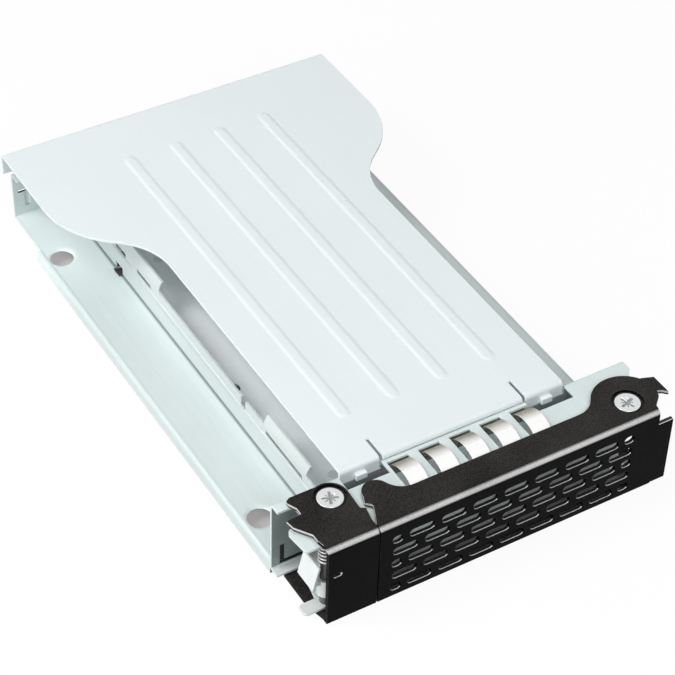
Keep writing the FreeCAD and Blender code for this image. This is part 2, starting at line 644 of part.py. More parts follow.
sketch = new_sketch(bracket, "bracket_pivot_holes", "XY", "flange_top")
circle(sketch, "handle_pivot_x", "handle_pivot_y", "screw_shank")
circle(sketch, "cap_pivot_x", "cap_pivot_y", "screw_shank")
circle(sketch, "post_x", "post_y", "post_radius")
cut(bracket, sketch, "flange_top")

# Rivets through the web and the tray's front lips.
bracket_rivets = new_body("bracket_rivets")
sketch = new_sketch(bracket_rivets, "bracket_rivet_heads", "XZ", "front_wall - rivet_head")
for side, sign in sides:
    circle(sketch, sign + "bracket_rivet_half", "bracket_rivet_z", "rivet_head_radius")
add(bracket_rivets, sketch, "rivet_head")
sketch = new_sketch(bracket_rivets, "bracket_rivet_shanks", "XZ", "front_wall")
for side, sign in sides:
    circle(sketch, sign + "bracket_rivet_half", "bracket_rivet_z", "rivet_radius")
add(bracket_rivets, sketch, "2 * sheet")
sketch = new_sketch(bracket_rivets, "bracket_rivet_tails", "XZ", "front_wall + 2 * sheet")
for side, sign in sides:
    circle(sketch, sign + "bracket_rivet_half", "bracket_rivet_z", "rivet_head_radius")
add(bracket_rivets, sketch, "rivet_head")

# Drive cradle: U-channel with leaning tabs that hold the drive down.
cradle = new_body("drive_cradle")
wall_inner = "drive_half + drive_play"
wall_outer = "drive_half + drive_play + cradle_sheet"
cradle_floor = "floor_top + cradle_sheet"
sketch = new_sketch(cradle, "cradle_section", "XZ", "cradle_front")
polygon(sketch, [
    ("-(%s)" % wall_outer, "floor_top"),
    (wall_outer, "floor_top"),
    (wall_outer, "ledge_height"),
    (wall_outer + " - ledge_depth", "ledge_height"),
    (wall_outer + " - ledge_depth", "cradle_top"),
    (wall_inner + " - ledge_depth", "cradle_top"),
    (wall_inner, "ledge_height - ledge_depth"),
    (wall_inner, cradle_floor),
    ("-(%s)" % wall_inner, cradle_floor),
    ("-(%s)" % wall_inner, "ledge_height - ledge_depth"),
    ("-(%s - ledge_depth)" % wall_inner, "cradle_top"),
    ("-(%s - ledge_depth)" % wall_outer, "cradle_top"),
    ("-(%s - ledge_depth)" % wall_outer, "ledge_height"),
    ("-(%s)" % wall_outer, "ledge_height"),
])
add(cradle, sketch, "cradle_rear - cradle_front")
for place in ("front", "rear"):
    for side, sign in sides:
        sketch = new_sketch(cradle, "cradle_%s_tab_%s" % (place, side), "XZ", place + "_tab_from")
        polygon(sketch, [
            (sign + "(%s - ledge_depth)" % wall_outer, "cradle_top"),
            (sign + "(%s - ledge_depth - tab_lean)" % wall_outer, "tab_top"),
            (sign + "(%s - ledge_depth - tab_lean)" % wall_inner, "tab_top"),
            (sign + "(%s - ledge_depth)" % wall_inner, "cradle_top"),
        ])
        add(cradle, sketch, "%s_tab_to - %s_tab_from" % (place, place))
round_off(cradle, "cradle_folds", "Y", "bend_inner",
          [("-(%s)" % wall_outer, "floor_top"), (wall_outer, "floor_top")])
sketch = new_sketch(cradle, "cradle_windows", "YZ", "2 * drive_half")
for place in ("front", "mid", "rear"):
    rectangle(sketch, place + "_slot_from", place + "_slot_to", "slot_low", "slot_high")
rectangle(sketch, "wall_notch_from", "wall_notch_to", "ledge_height", "tab_top")
cut(cradle, sketch, "4 * drive_half")
sketch = new_sketch(cradle, "cradle_foot_cuts", "XY", "foot_cut_top")
for side, sign in sides:
    rectangle(sketch, sign + "foot_cut_inner", sign + "foot_cut_outer", "foot_cut_from", "foot_cut_to")
cut(cradle, sketch, "foot_cut_top")
sketch = new_sketch(cradle, "cradle_holes", "XY", cradle_floor)
for side, sign in sides:
    for back in ("drive_hole_front", "drive_hole_front + drive_hole_pitch"):
        circle(sketch, sign + "drive_hole_half", back, "drive_hole_radius")
    for back in ("cradle_rivet_front", "cradle_rivet_front + cradle_rivet_pitch"):
        circle(sketch, sign + "cradle_rivet_half", back, "rivet_radius")
cut(cradle, sketch, "floor_top")

# Rivets of the cradle, flush above so that the drive lies flat.
cradle_rivets = new_body("cradle_rivets")
rivet_spots = [(sign + "cradle_rivet_half", back) for side, sign in sides
               for back in ("cradle_rivet_front", "cradle_rivet_front + cradle_rivet_pitch")]
sketch = new_sketch(cradle_rivets, "cradle_rivet_heads", "XY", floor_low + " - rivet_head")
for x, y in rivet_spots:
    circle(sketch, x, y, "rivet_head_radius")
add(cradle_rivets, sketch, "rivet_head")
sketch = new_sketch(cradle_rivets, "cradle_rivet_shanks", "XY", floor_low)
for x, y in rivet_spots:
    circle(sketch, x, y, "rivet_radius")
add(cradle_rivets, sketch, "sheet + cradle_sheet")

# Top cover: narrow at the front, wide at the rear, with ribs and folded lips.
cover = new_body("top_cover")
cover_low = "cover_top - sheet"
sketch = new_sketch(cover, "cover_plate", "XY", cover_low)
polygon(sketch, [
    ("-cover_narrow", "front_wall"),
    ("cover_narrow", "front_wall"),
    ("cover_narrow", "shoulder_inner"),
    ("cover_wide", "shoulder_outer"),
    ("cover_wide", "overall_length"),
    ("-cover_wide", "overall_length"),
    ("-cover_wide", "shoulder_outer"),
    ("-cover_narrow", "shoulder_inner"),
])
add(cover, sketch, "sheet")
round_off(cover, "cover_shoulder_outer", "Z", "shoulder_convex",
          [(sign + "cover_wide", "shoulder_outer") for side, sign in sides])
round_off(cover, "cover_shoulder_inner", "Z", "shoulder_concave",
          [(sign + "cover_narrow", "shoulder_inner") for side, sign in sides])
sketch = new_sketch(cover, "cover_center_lip", "XZ", "front_wall")
rectangle(sketch, "-cover_slot_x", "cover_slot_x", "cover_top - center_lip", cover_low)
add(cover, sketch, "sheet")
for side, sign in sides:
    sketch = new_sketch(cover, "cover_corner_lip_" + side, "XZ", "front_wall")
    rectangle(sketch, sign + "cover_slot_x", sign + "cover_narrow", lip_low, cover_low)
    add(cover, sketch, "sheet")
sketch = new_sketch(cover, "cover_rear_lip", "XZ", rear_face)
rectangle(sketch, "-cover_wide", "cover_wide", "cover_top - rear_lip", cover_low)
add(cover, sketch, "sheet")
for side, sign in sides:
    sketch = new_sketch(cover, "cover_hook_" + side, "XZ", rear_face)
    rectangle(sketch, sign + "hook_from", sign + "hook_to", "hook_low", "cover_top - rear_lip")
    add(cover, sketch, "sheet")
round_off(cover, "cover_folds", "X", "bend_outer",
          [("front_wall", "cover_top"), ("overall_length", "cover_top")])
sketch = new_sketch(cover, "cover_slots", "XY", "cover_top")
for side, sign in sides:
    rectangle(sketch, sign + "(cover_slot_x - cover_slot_width / 2)",
              sign + "(cover_slot_x + cover_slot_width / 2)", "front_wall - sheet", "cover_slot_end")
cut(cover, sketch, "cover_top")
for side, sign in sides:
    sketch = new_sketch(cover, "cover_nub_" + side, "XZ", "front_wall - nub_depth")
    low = lip_low + " + bend_inner"
    rectangle(sketch, sign + "(nub_center - nub_width / 2)", sign + "(nub_center + nub_width / 2)",
              low, low + " + nub_height")
    add(cover, sketch, "nub_depth")
rib_spots = ["%d * rib_pitch / 2" % i for i in (-3, -1, 1, 3)]
sketch = new_sketch(cover, "cover_ribs", "XY", "cover_top")
for middle in rib_spots:
    long_hole(sketch, middle, "(rib_front + rib_rear) / 2", "(rib_rear - rib_front)", "rib_width", True)
add(cover, sketch, "rib_height")
sketch = new_sketch(cover, "cover_rib_hollows", "XY", cover_low + " + rib_height")
for middle in rib_spots:
    long_hole(sketch, middle, "(rib_front + rib_rear) / 2", "(rib_rear - rib_front - sheet)",
              "rib_width - sheet", True)
cut(cover, sketch, "rib_height")

# Finger strip: base on the web, five arched fingers through the flange windows.
fingers = new_body("emi_finger_strip")
sketch = new_sketch(fingers, "finger_base", "XZ", "front_wall - emi_sheet")
strip_half = "(2 * emi_pitch + finger_width / 2 + strip_end)"
arch_center = "(flange_top + finger_rise - finger_radius)"
arch_foot = "(%s + sqrt(finger_radius ^ 2 - (front_wall - finger_middle) ^ 2))" % arch_center
rectangle(sketch, "emi_center - " + strip_half, "emi_center + " + strip_half, "strip_low", arch_foot)
add(fingers, sketch, "emi_sheet")


def arch(sketch):
    """Ring sector that runs from the web over the flange and down to the tip."""
    middle = FreeCAD.Vector(value("finger_middle"), value(arch_center), 0)
    up = FreeCAD.Vector(0, 0, 1)
    outer = value("finger_radius")
    inner = value("finger_radius - emi_sheet")
    start = value("acos((front_wall - finger_middle) / finger_radius) / 1 rad")
    stop = value("acos((finger_tip - finger_middle) / finger_radius) / 1 rad")
    first = sketch.GeometryCount
    sketch.addGeometry(Part.ArcOfCircle(Part.Circle(middle, up, outer), start, stop), False)
    sketch.addGeometry(Part.ArcOfCircle(Part.Circle(middle, up, inner), start, stop), False)
    rings = [sketch.Geometry[first], sketch.Geometry[first + 1]]
    sketch.addGeometry(Part.LineSegment(rings[0].StartPoint, rings[1].StartPoint), False)
    sketch.addGeometry(Part.LineSegment(rings[0].EndPoint, rings[1].EndPoint), False)
    for line, point in ((first + 2, 1), (first + 3, 2)):
        sketch.addConstraint(Sketcher.Constraint("Coincident", line, 1, first, point))
        sketch.addConstraint(Sketcher.Constraint("Coincident", line, 2, first + 1, point))
        sketch.addConstraint(Sketcher.Constraint("PointOnObject", first, 3, line))
    sketch.addConstraint(Sketcher.Constraint("Coincident", first, 3, first + 1, 3))
    fix(sketch, "DistanceX", first, 3, "finger_middle")
    fix(sketch, "DistanceY", first, 3, arch_center)
    for ring, text in ((first, "finger_radius"), (first + 1, "finger_radius - emi_sheet")):
        number = sketch.addConstraint(Sketcher.Constraint("Radius", ring, value(text)))
        sketch.setExpression("Constraints[%d]" % number, bound(text))
    fix(sketch, "DistanceX", first, 1, "front_wall")
    fix(sketch, "DistanceX", first, 2, "finger_tip")


sketch = new_sketch(fingers, "finger_arch", "YZ", "emi_center - 2 * emi_pitch - finger_width / 2")
arch(sketch)
finger = add(fingers, sketch, "finger_width")
row_of(fingers, finger, "X", "4 * emi_pitch", 5)

plate_low = "bezel_top - bezel_sheet"
plate_high = "bezel_bottom + bezel_sheet"
counterbore = "screw_head_radius + screw_ring"
journal = "shoulder_radius + fit"


def lever_front(body, x_from, x_to, name):
    """Upright front of a lever."""
    sketch = new_sketch(body, name + "_front", "XZ", "0")
    rectangle(sketch, x_from, x_to, "bezel_bottom", "bezel_top")
    add(body, sketch, "bezel_sheet")


def lever_folds(body, name):
    """Rounded folds between the front and the two plates of a lever."""
    round_off(body, name + "_outer_fold", "X", "bezel_outer", [("0", "bezel_top")])
    round_off(body, name + "_inner_fold", "X", "bezel_inner", [("bezel_sheet", plate_low)])
    round_off(body, name + "_low_outer_fold", "X", "bezel_low_outer", [("0", "bezel_bottom")])
    round_off(body, name + "_low_inner_fold", "X", "bezel_low_inner", [("bezel_sheet", plate_high)])


def lever_holes(body, name, x, y):
    """Stepped hole for the pivot screw and plain hole for the lower stud."""
    sketch = new_sketch(body, name + "_counterbore", "XY", "bezel_top")
    circle(sketch, x, y, counterbore)
    cut(body, sketch, "bezel_sheet - head_step + fit")
    sketch = new_sketch(body, name + "_bore", "XY", "bezel_top")
    circle(sketch, x, y, journal)
    cut(body, sketch, "bezel_top")


# Handle: long folded lever with lobes, barb, claw, right flap and vent slots.
handle = new_body("handle_lever")
handle_left = "seam + seam_gap / 2"
lever_front(handle, handle_left, "fold_end", "handle")
sketch = new_sketch(handle, "handle_top", "XY", plate_low)
polygon(sketch, [
    (handle_left, "0"),
    ("fold_end", "0"),
    ("fold_end", "bezel_outer"),
    ("claw_edge - claw_neck", "claw_tip"),
    ("claw_edge - 2 * claw_width", "claw_hollow"),
    ("claw_edge - claw_width", "claw_tip + claw_width"),
    ("claw_edge", "claw_tip"),
    ("claw_edge", "claw_side"),
    ("claw_edge - claw_neck", "claw_rear"),
    ("handle_pivot_x", "claw_rear"),
    ("handle_pivot_x", "handle_rear"),
    ("nose_lobe_x", "handle_rear"),
    ("nose_lobe_x", "nose_lobe_y"),
    ("nose_lobe_x - nose_lobe", "nose_lobe_y"),
    ("barb_tip_x", "barb_tip_y"),
    ("barb_root_x", "barb_tip_y - bezel_sheet"),
    ("barb_root_x", "barb_root_y"),
    (handle_left, "bezel_outer"),
])
add(handle, sketch, "bezel_sheet")
sketch = new_sketch(handle, "handle_right_lobe", "XY", plate_low)
half_disc(sketch, "handle_pivot_x", "handle_pivot_y", "handle_lobe")
add(handle, sketch, "bezel_sheet")
sketch = new_sketch(handle, "handle_left_lobe", "XY", plate_low)
circle(sketch, "nose_lobe_x", "nose_lobe_y", "nose_lobe")
add(handle, sketch, "bezel_sheet")
right_root = "handle_pivot_x - sqrt(handle_lobe ^ 2 - (handle_rear - handle_pivot_y) ^ 2)"
left_root = "nose_lobe_x + sqrt(nose_lobe ^ 2 - (nose_lobe_y - handle_rear) ^ 2)"
round_off(handle, "handle_right_blend", "Z", "handle_lobe_blend", [(right_root, "handle_rear")])
round_off(handle, "handle_left_blend", "Z", "nose_lobe_blend", [(left_root, "handle_rear")])
sketch = new_sketch(handle, "handle_bottom", "XY", "bezel_bottom")
rectangle(sketch, handle_left, "fold_end", "0", "handle_rear")
add(handle, sketch, "bezel_sheet")
sketch = new_sketch(handle, "handle_bottom_lobe", "XY", "bezel_bottom")
half_disc(sketch, "handle_pivot_x", "handle_pivot_y", "handle_lobe")
add(handle, sketch, "bezel_sheet")
lever_folds(handle, "handle")
sketch = new_sketch(handle, "handle_flap", "XZ", "0")
rectangle(sketch, "fold_end - bezel_sheet", "half_span", "flap_bottom", "flap_top")
add(handle, sketch, "bezel_sheet")
lever_holes(handle, "handle", "handle_pivot_x", "handle_pivot_y")
for i in range(-2, 3):
    height = "grille_middle + %d * grille_row_pitch" % i
    inner_row = i % 2 == 1
    count = 8 if inner_row else 7
    start = "grille_center - %d * grille_pitch / 2" % (count - 1)
    sketch = new_sketch(handle, "handle_slot_%d" % (i + 3), "XZ", "0")
    long_hole(sketch, start, height, "vent_slot_length", "vent_slot_height")
    slot = cut(handle, sketch, "bezel_sheet")
    row_of(handle, slot, "X", "%d * grille_pitch" % (count - 1), count)
sketch = new_sketch(handle, "handle_end_slots", "XZ", "0")
for i in (-2, 0, 2):
    for side, sign in (("left", "-"), ("right", "+")):
        long_hole(sketch, "grille_center %s vent_end_inset" % sign,
                  "grille_middle + %d * grille_row_pitch" % i, "vent_end_length", "vent_slot_height")
cut(handle, sketch, "bezel_sheet")

# Short lever: the cap at the left end, with nose, claw and lobe about its pivot.
cap = new_body("cap_lever")
cap_right = "seam - seam_gap / 2"
lever_front(cap, "cap_left", cap_right, "cap")
sketch = new_sketch(cap, "cap_top", "XY", plate_low)
polygon(sketch, [
    (cap_right, "0"),
    (cap_right, "cap_nose_front"),
    ("cap_nose_x", "cap_nose_y"),
    ("cap_neck_x", "cap_neck_y"),
    ("cap_pivot_x + cap_lobe", "cap_pivot_y"),
    ("cap_pivot_x", "cap_rear"),
    ("cap_rear_corner + bezel_sheet", "cap_rear"),
    ("cap_rear_corner", "cap_rear - sheet"),
    ("cap_rear_corner", "cap_notch_rear"),
    ("cap_notch_x", "(cap_notch_rear + cap_notch_front) / 2"),
    ("cap_notch_x", "cap_notch_front"),
    ("cap_claw_x", "cap_claw_y"),
    ("cap_claw_x + gap", "cap_claw_y - cap_claw_width"),
    ("cap_waist_x", "cap_waist_y"),
    ("cap_waist_x", "cap_waist_y - bezel_outer"),
    ("cap_left", "bezel_sheet"),
    ("cap_left", "0"),
])
add(cap, sketch, "bezel_sheet")
sketch = new_sketch(cap, "cap_top_lobe", "XY", plate_low)
circle(sketch, "cap_pivot_x", "cap_pivot_y", "cap_lobe")
add(cap, sketch, "bezel_sheet")
sketch = new_sketch(cap, "cap_bottom", "XY", "bezel_bottom")
polygon(sketch, [
    (cap_right, "0"),
    (cap_right, "cap_neck_y"),
    ("cap_pivot_x + cap_lobe", "cap_pivot_y"),
    ("cap_pivot_x", "cap_rear"),
    ("cap_low_x", "cap_rear - sheet"),
    ("cap_low_x", "cap_low_y"),
    ("cap_left", "bezel_outer"),
    ("cap_left", "0"),
])
add(cap, sketch, "bezel_sheet")
sketch = new_sketch(cap, "cap_bottom_lobe", "XY", "bezel_bottom")
circle(sketch, "cap_pivot_x", "cap_pivot_y", "cap_lobe")
add(cap, sketch, "bezel_sheet")
lever_folds(cap, "cap")
lever_holes(cap, "cap", "cap_pivot_x", "cap_pivot_y")
sketch = new_sketch(cap, "cap_spring_eye", "XZ", "0")
long_hole(sketch, "post_x", "spring_eye_z", "spring_eye_length", "spring_eye_height")
cut(cap, sketch, "bezel_sheet")


def pivot_set(name, x, y):
    """Screw, nut, washer and lower stud of one lever pivot."""
    head_low = plate_low + " + head_step"
    screw = new_body(name + "_pivot_screw")
    sketch = new_sketch(screw, name + "_screw_thread", "XY", "flange_top - screw_length")
    circle(sketch, x, y, "screw_shank")
    add(screw, sketch, "screw_length")
    sketch = new_sketch(screw, name + "_screw_shoulder", "XY", "flange_top")
    circle(sketch, x, y, "shoulder_radius")
    add(screw, sketch, head_low + " - flange_top")
    sketch = new_sketch(screw, name + "_screw_head", "XY", head_low)
    circle(sketch, x, y, "screw_head_radius")
    add(screw, sketch, "screw_head")
    head_high = head_low + " + screw_head"
    bevel_rims(screw, name + "_screw_bevel", head_high, "screw_head_radius", "screw_head / 3")
    sketch = new_sketch(screw, name + "_screw_cross", "XY", head_high)
    long_side = "cross_length / 2"
    short_side = "cross_width / 2"
    corners = [(long_side, short_side), (short_side, short_side), (short_side, long_side)]
    turned = []
    for sx, sy in (("+", "+"), ("-", "+"), ("-", "-"), ("+", "-")):
        group = [("%s %s %s" % (x, sx, a), "%s %s %s" % (y, sy, b)) for a, b in corners]
        turned += group if sx == sy else group[::-1]
    polygon(sketch, turned)
    cut(screw, sketch, "cross_depth")
    nut = new_body(name + "_pivot_nut")
    sketch = new_sketch(nut, name + "_nut_plan", "XY", "flange_top - sheet - nut_height")
    half = "nut_radius / 2"
    flat = "nut_radius * sqrt(3) / 2"
    polygon(sketch, [
        (x + " + nut_radius", y),
        ("%s + %s" % (x, half), "%s + %s" % (y, flat)),
        ("%s - %s" % (x, half), "%s + %s" % (y, flat)),
        (x + " - nut_radius", y),
        ("%s - %s" % (x, half), "%s - %s" % (y, flat)),
        ("%s + %s" % (x, half), "%s - %s" % (y, flat)),
    ])
    circle(sketch, x, y, "screw_shank")
    add(nut, sketch, "nut_height")
    washer = new_body(name + "_washer")
    sketch = new_sketch(washer, name + "_washer_plan", "XY", "flange_top")
    circle(sketch, x, y, "washer_radius")
    circle(sketch, x, y, journal)
    add(washer, sketch, plate_low + " - flange_top - fit")
    stud = new_body(name + "_lower_stud")
    sketch = new_sketch(stud, name + "_stud_journal", "XY", "stud_end")
    circle(sketch, x, y, "shoulder_radius")
    add(stud, sketch, plate_high + " + fit - stud_end")
    sketch = new_sketch(stud, name + "_stud_spacer", "XY", plate_high + " + fit")
    circle(sketch, x, y, "spacer_radius")
    add(stud, sketch, "tongue_low - (%s) - fit" % plate_high)
    sketch = new_sketch(stud, name + "_stud_shank", "XY", "tongue_low")
    circle(sketch, x, y, "screw_shank")
    add(stud, sketch, "sheet")
    sketch = new_sketch(stud, name + "_stud_rivet", "XY", "tongue_top")
    circle(sketch, x, y, "rivet_head_radius")
    add(stud, sketch, "rivet_head")
    return [screw, nut, washer, stud]


pivot_pieces = pivot_set("handle", "handle_pivot_x", "handle_pivot_y")
pivot_pieces += pivot_set("cap", "cap_pivot_x", "cap_pivot_y")

# Catch post between tongue and flange.
post = new_body("catch_post")
sketch = new_sketch(post, "post_shank", "XY", "tongue_low")
circle(sketch, "post_x", "post_y", "post_radius")
add(post, sketch, "flange_top - tongue_low")

# Catch: hub on the post, arm and leaning flap that is pressed in at the side.
catch = new_body("catch_lever")
sketch = new_sketch(catch, "catch_hub", "XY", "hub_low")
circle(sketch, "post_x", "post_y", "hub_radius")
add(catch, sketch, "hub_high - hub_low")
sketch = new_sketch(catch, "catch_arm", "XY", "hub_high - arm_thick")
polygon(sketch, [
    ("post_x", "post_y - hub_radius / 2"),
    ("post_x", "post_y + hub_radius"),
    ("flap_low_x + catch_sheet", "flap_rear - catch_sheet"),
    ("flap_low_x + catch_sheet", "flap_front + catch_sheet"),
])
add(catch, sketch, "arm_thick")
sketch = new_sketch(catch, "catch_flap", "XZ", "flap_front")
polygon(sketch, [
    ("flap_low_x", "flap_low_z"),
    ("flap_low_x + catch_sheet", "flap_low_z"),
    ("flap_high_x + catch_sheet", "flap_high_z"),
    ("flap_high_x", "flap_high_z"),
])
add(catch, sketch, "flap_rear - flap_front")
sketch = new_sketch(catch, "catch_bore", "XY", "hub_high")
circle(sketch, "post_x", "post_y", "post_radius + fit")
cut(catch, sketch, "hub_high")

# Torsion spring: coil round the post with a leg into the oval hole of the short lever.
coil = doc.addObject("Part::Helix", "spring_coil")
coil.setExpression("Pitch", bound("(coil_high - spring_eye_z) / coil_turns"))
coil.setExpression("Height", bound("coil_high - spring_eye_z"))
coil.setExpression("Radius", bound("coil_radius"))
coil.Placement.Rotation = FreeCAD.Rotation(FreeCAD.Vector(0, 0, 1), -90)
coil.setExpression("Placement.Base.x", bound("post_x"))
coil.setExpression("Placement.Base.y", bound("post_y"))
coil.setExpression("Placement.Base.z", bound("spring_eye_z"))
coil.SegmentLength = 0.25
wire = doc.addObject("Part::RegularPolygon", "spring_wire")
wire.Polygon = 6
wire.setExpression("Circumradius", bound("wire_radius"))
wire.Placement.Rotation = FreeCAD.Rotation(FreeCAD.Vector(0, 1, 0), 90)
wire.setExpression("Placement.Base.x", bound("post_x"))
wire.setExpression("Placement.Base.y", bound("post_y - coil_radius"))
wire.setExpression("Placement.Base.z", bound("spring_eye_z"))
doc.recompute()
turns = doc.addObject("Part::Sweep", "spring_turns")
turns.Sections = [wire]
turns.Spine = coil
turns.Solid = True
turns.Frenet = True
leg = doc.addObject("Part::Cylinder", "spring_leg")
leg.setExpression("Radius", bound("wire_radius * sqrt(3) / 2"))
leg.setExpression("Height", bound("leg_reach"))
leg.Placement.Rotation = FreeCAD.Rotation(FreeCAD.Vector(1, 0, 0), 90)
leg.setExpression("Placement.Base.x", bound("post_x"))
leg.setExpression("Placement.Base.y", bound("post_y - coil_radius"))
leg.setExpression("Placement.Base.z", bound("spring_eye_z"))
spring = doc.addObject("Part::MultiFuse", "catch_spring")
spring.Label = "catch_spring"
spring.Shapes = [turns, leg]
spring.setExpression("Placement.Base.x", bound("-claw_reach / 2"))
spring.setExpression("Placement.Base.y", bound("-overall_length / 2"))
doc.recompute()

nodes = [tray, bracket, bracket_rivets, cradle, cradle_rivets, cover, fingers, handle, cap]
nodes += pivot_pieces + [post, catch, spring]
for item in doc.Objects:
    if "Invalid" in item.State or "Error" in item.State:
        raise RuntimeError("not built: " + item.Name)
os.makedirs("parts", exist_ok=True)
for item in nodes:
    if item.Shape.isNull() or not item.Shape.isValid():
        raise RuntimeError("bad shape: " + item.Label)
    item.Shape.exportStep("parts/%s.step" % item.Label)
    print(item.Label, len(item.Shape.Solids), round(item.Shape.Volume, 1), item.Shape.BoundBox)
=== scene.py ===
import bpy
import json
import math
from mathutils import Matrix, Vector

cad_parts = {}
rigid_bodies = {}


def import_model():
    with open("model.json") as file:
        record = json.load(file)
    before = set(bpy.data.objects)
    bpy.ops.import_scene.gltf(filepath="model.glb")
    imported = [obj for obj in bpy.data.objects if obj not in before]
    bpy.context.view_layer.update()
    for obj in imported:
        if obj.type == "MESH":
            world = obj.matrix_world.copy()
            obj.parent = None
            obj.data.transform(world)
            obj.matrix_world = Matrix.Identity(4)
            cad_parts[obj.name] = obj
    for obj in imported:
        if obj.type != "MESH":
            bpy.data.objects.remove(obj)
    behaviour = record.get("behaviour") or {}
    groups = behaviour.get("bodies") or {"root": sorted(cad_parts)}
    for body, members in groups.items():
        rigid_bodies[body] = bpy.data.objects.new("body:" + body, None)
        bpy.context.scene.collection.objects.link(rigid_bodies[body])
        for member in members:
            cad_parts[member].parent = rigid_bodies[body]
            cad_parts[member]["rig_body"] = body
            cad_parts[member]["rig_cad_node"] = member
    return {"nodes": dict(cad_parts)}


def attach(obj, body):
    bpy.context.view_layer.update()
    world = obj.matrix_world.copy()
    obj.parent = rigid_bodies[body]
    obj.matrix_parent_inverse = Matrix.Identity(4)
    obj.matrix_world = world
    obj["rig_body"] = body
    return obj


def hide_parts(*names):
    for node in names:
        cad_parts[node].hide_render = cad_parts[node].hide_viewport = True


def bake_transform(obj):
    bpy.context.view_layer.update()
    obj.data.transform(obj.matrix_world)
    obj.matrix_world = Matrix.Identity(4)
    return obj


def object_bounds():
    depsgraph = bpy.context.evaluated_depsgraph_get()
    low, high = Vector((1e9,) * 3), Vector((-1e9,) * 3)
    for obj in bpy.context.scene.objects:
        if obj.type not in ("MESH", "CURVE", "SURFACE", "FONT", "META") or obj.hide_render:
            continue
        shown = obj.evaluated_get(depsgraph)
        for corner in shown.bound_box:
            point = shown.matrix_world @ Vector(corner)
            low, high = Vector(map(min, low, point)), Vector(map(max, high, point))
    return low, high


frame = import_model()
cadLow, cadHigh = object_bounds()
nodes = frame["nodes"]
scene = bpy.context.scene
scene.view_settings.view_transform = "Standard"
mm = 0.001
tiny = 0.001 * mm
trayMiddle = -0.6  # mm across
frontFace = cadLow[1]  # the levers' front
level = 0.9  # a face with this much of its normal upright counts as level
flat = 0.99  # and with this much as flat
print("frame loaded:", len(nodes), "nodes")

# camera: the photograph's own viewpoint
cameraSet = {
    "place": (-0.2329, -0.3869, 0.4101),
    "aim": (-0.0093, -0.0257, 0.0271),
    "roll": 1.731,  # degrees, right side up
    "lens": 115.4,
    "sensor": 36,
    "clipStart": 0.01,
}
bpy.ops.object.camera_add(location=cameraSet["place"])
camera = bpy.context.object
camera.name = "photoCamera"
aim = Vector(cameraSet["aim"]) - Vector(cameraSet["place"])
roll = Matrix.Rotation(math.radians(cameraSet["roll"]), 3, "Z")
camera.rotation_euler = (aim.to_track_quat("-Z", "Y").to_matrix() @ roll).to_euler()
camera.data.lens = cameraSet["lens"]
camera.data.sensor_width = cameraSet["sensor"]
camera.data.clip_start = cameraSet["clipStart"]
scene.camera = camera
print("camera set")

# studio: pale floor, white surround, soft boxes
white = (1.0, 1.0, 1.0)
studioSet = {
    "floorSize": 8.0,
    "floorDrop": 0.1 * mm,
    "floorColour": (0.42, 0.43, 0.43),  # what the floor throws back on the object
    "floorSeen": (0.95, 0.95, 0.95),
    "floorGlow": 0.93,  # share of plain white in the floor, the rest takes the shadow
    "underShade": (0.47, 0.46, 0.455),  # painted shade: the floor under the tray, seen through its holes, painted grey
    "underShadeTint": (1.0, 0.96, 0.95),
    "wingPaintedLight": 0.25,  # painted light: share of white glow under the wings of the tray
    "wingFrom": (41.5, 43.0),  # mm across: more painted shade under the cradle than under the wings
    "wingFront": (-62.0, -60.0),  # mm along: and painted shade before the front holes
    "greyWide": (50.4, 51.4),  # mm across: the painted shade on the floor stays under the tray
    "greyFront": (-68.0, -70.0),  # mm along
    "greyRear": (72.6, 74.4),
    "skyColour": (0.97, 0.99, 1.0, 1),
    "skyStrength": 0.20,
    "lamps": (  # name, place, size, watts
        ("keyBox", (-0.62, 0.14, 0.88), 0.45, 5.2),
        ("wideBox", (-0.85, 0.25, 0.70), 0.8, 3.0),
        ("sideBox", (-1.10, -0.20, 0.28), 0.5, 3.6),
        ("frontBox", (-0.25, -0.85, 0.80), 0.6, 6.0),
    ),
}


def addNode(tree, kind, **values):
    node = tree.nodes.new(kind)
    for key, value in values.items():
        setattr(node, key, value)
    return node


def spread(tree, source, low, high, toLow=0.0, toHigh=1.0):
    span = addNode(tree, "ShaderNodeMapRange", clamp=True)
    span.inputs["From Min"].default_value = low
    span.inputs["From Max"].default_value = high
    span.inputs["To Min"].default_value = toLow
    span.inputs["To Max"].default_value = toHigh
    tree.links.new(source, span.inputs["Value"])
    return span.outputs["Result"]


def spreadMm(tree, source, low, high, *levels):
    return spread(tree, source, low * mm, high * mm, *levels)


def sums(tree, kind, first, second):
    step = addNode(tree, "ShaderNodeMath", operation=kind)
    for number, value in ((0, first), (1, second)):
        if isinstance(value, (int, float)):
            step.inputs[number].default_value = value
        else:
            tree.links.new(value, step.inputs[number])
    return step.outputs[0]


def product(tree, first, *others):
    for other in others:
        first = sums(tree, "MULTIPLY", first, other)
    return first


def weigh(tree, first, second, shares):  # two values added by their shares
    return sums(tree, "ADD", product(tree, first, shares[0]), product(tree, second, shares[1]))


def hump(tree, value, rise, full, fade, gone):  # from 0 to 1 and back over four places in mm
    return product(tree, spreadMm(tree, value, rise, full), spreadMm(tree, value, gone, fade))


def blendColour(tree, share, first, second):
    mix = addNode(tree, "ShaderNodeMix", data_type="RGBA")
    tree.links.new(share, mix.inputs["Factor"])
    for number, colour in ((6, first), (7, second)):
        if isinstance(colour, tuple):
            mix.inputs[number].default_value = (*colour, 1)
        else:
            tree.links.new(colour, mix.inputs[number])
    return mix.outputs[2]


def blendShaders(tree, share, first, second, outputName):
    mix = addNode(tree, "ShaderNodeMixShader")
    tree.links.new(share, mix.inputs["Fac"])
    tree.links.new(first.outputs[0], mix.inputs[1])
    tree.links.new(second.outputs[0], mix.inputs[2])
    tree.links.new(mix.outputs[0], tree.nodes[outputName].inputs["Surface"])


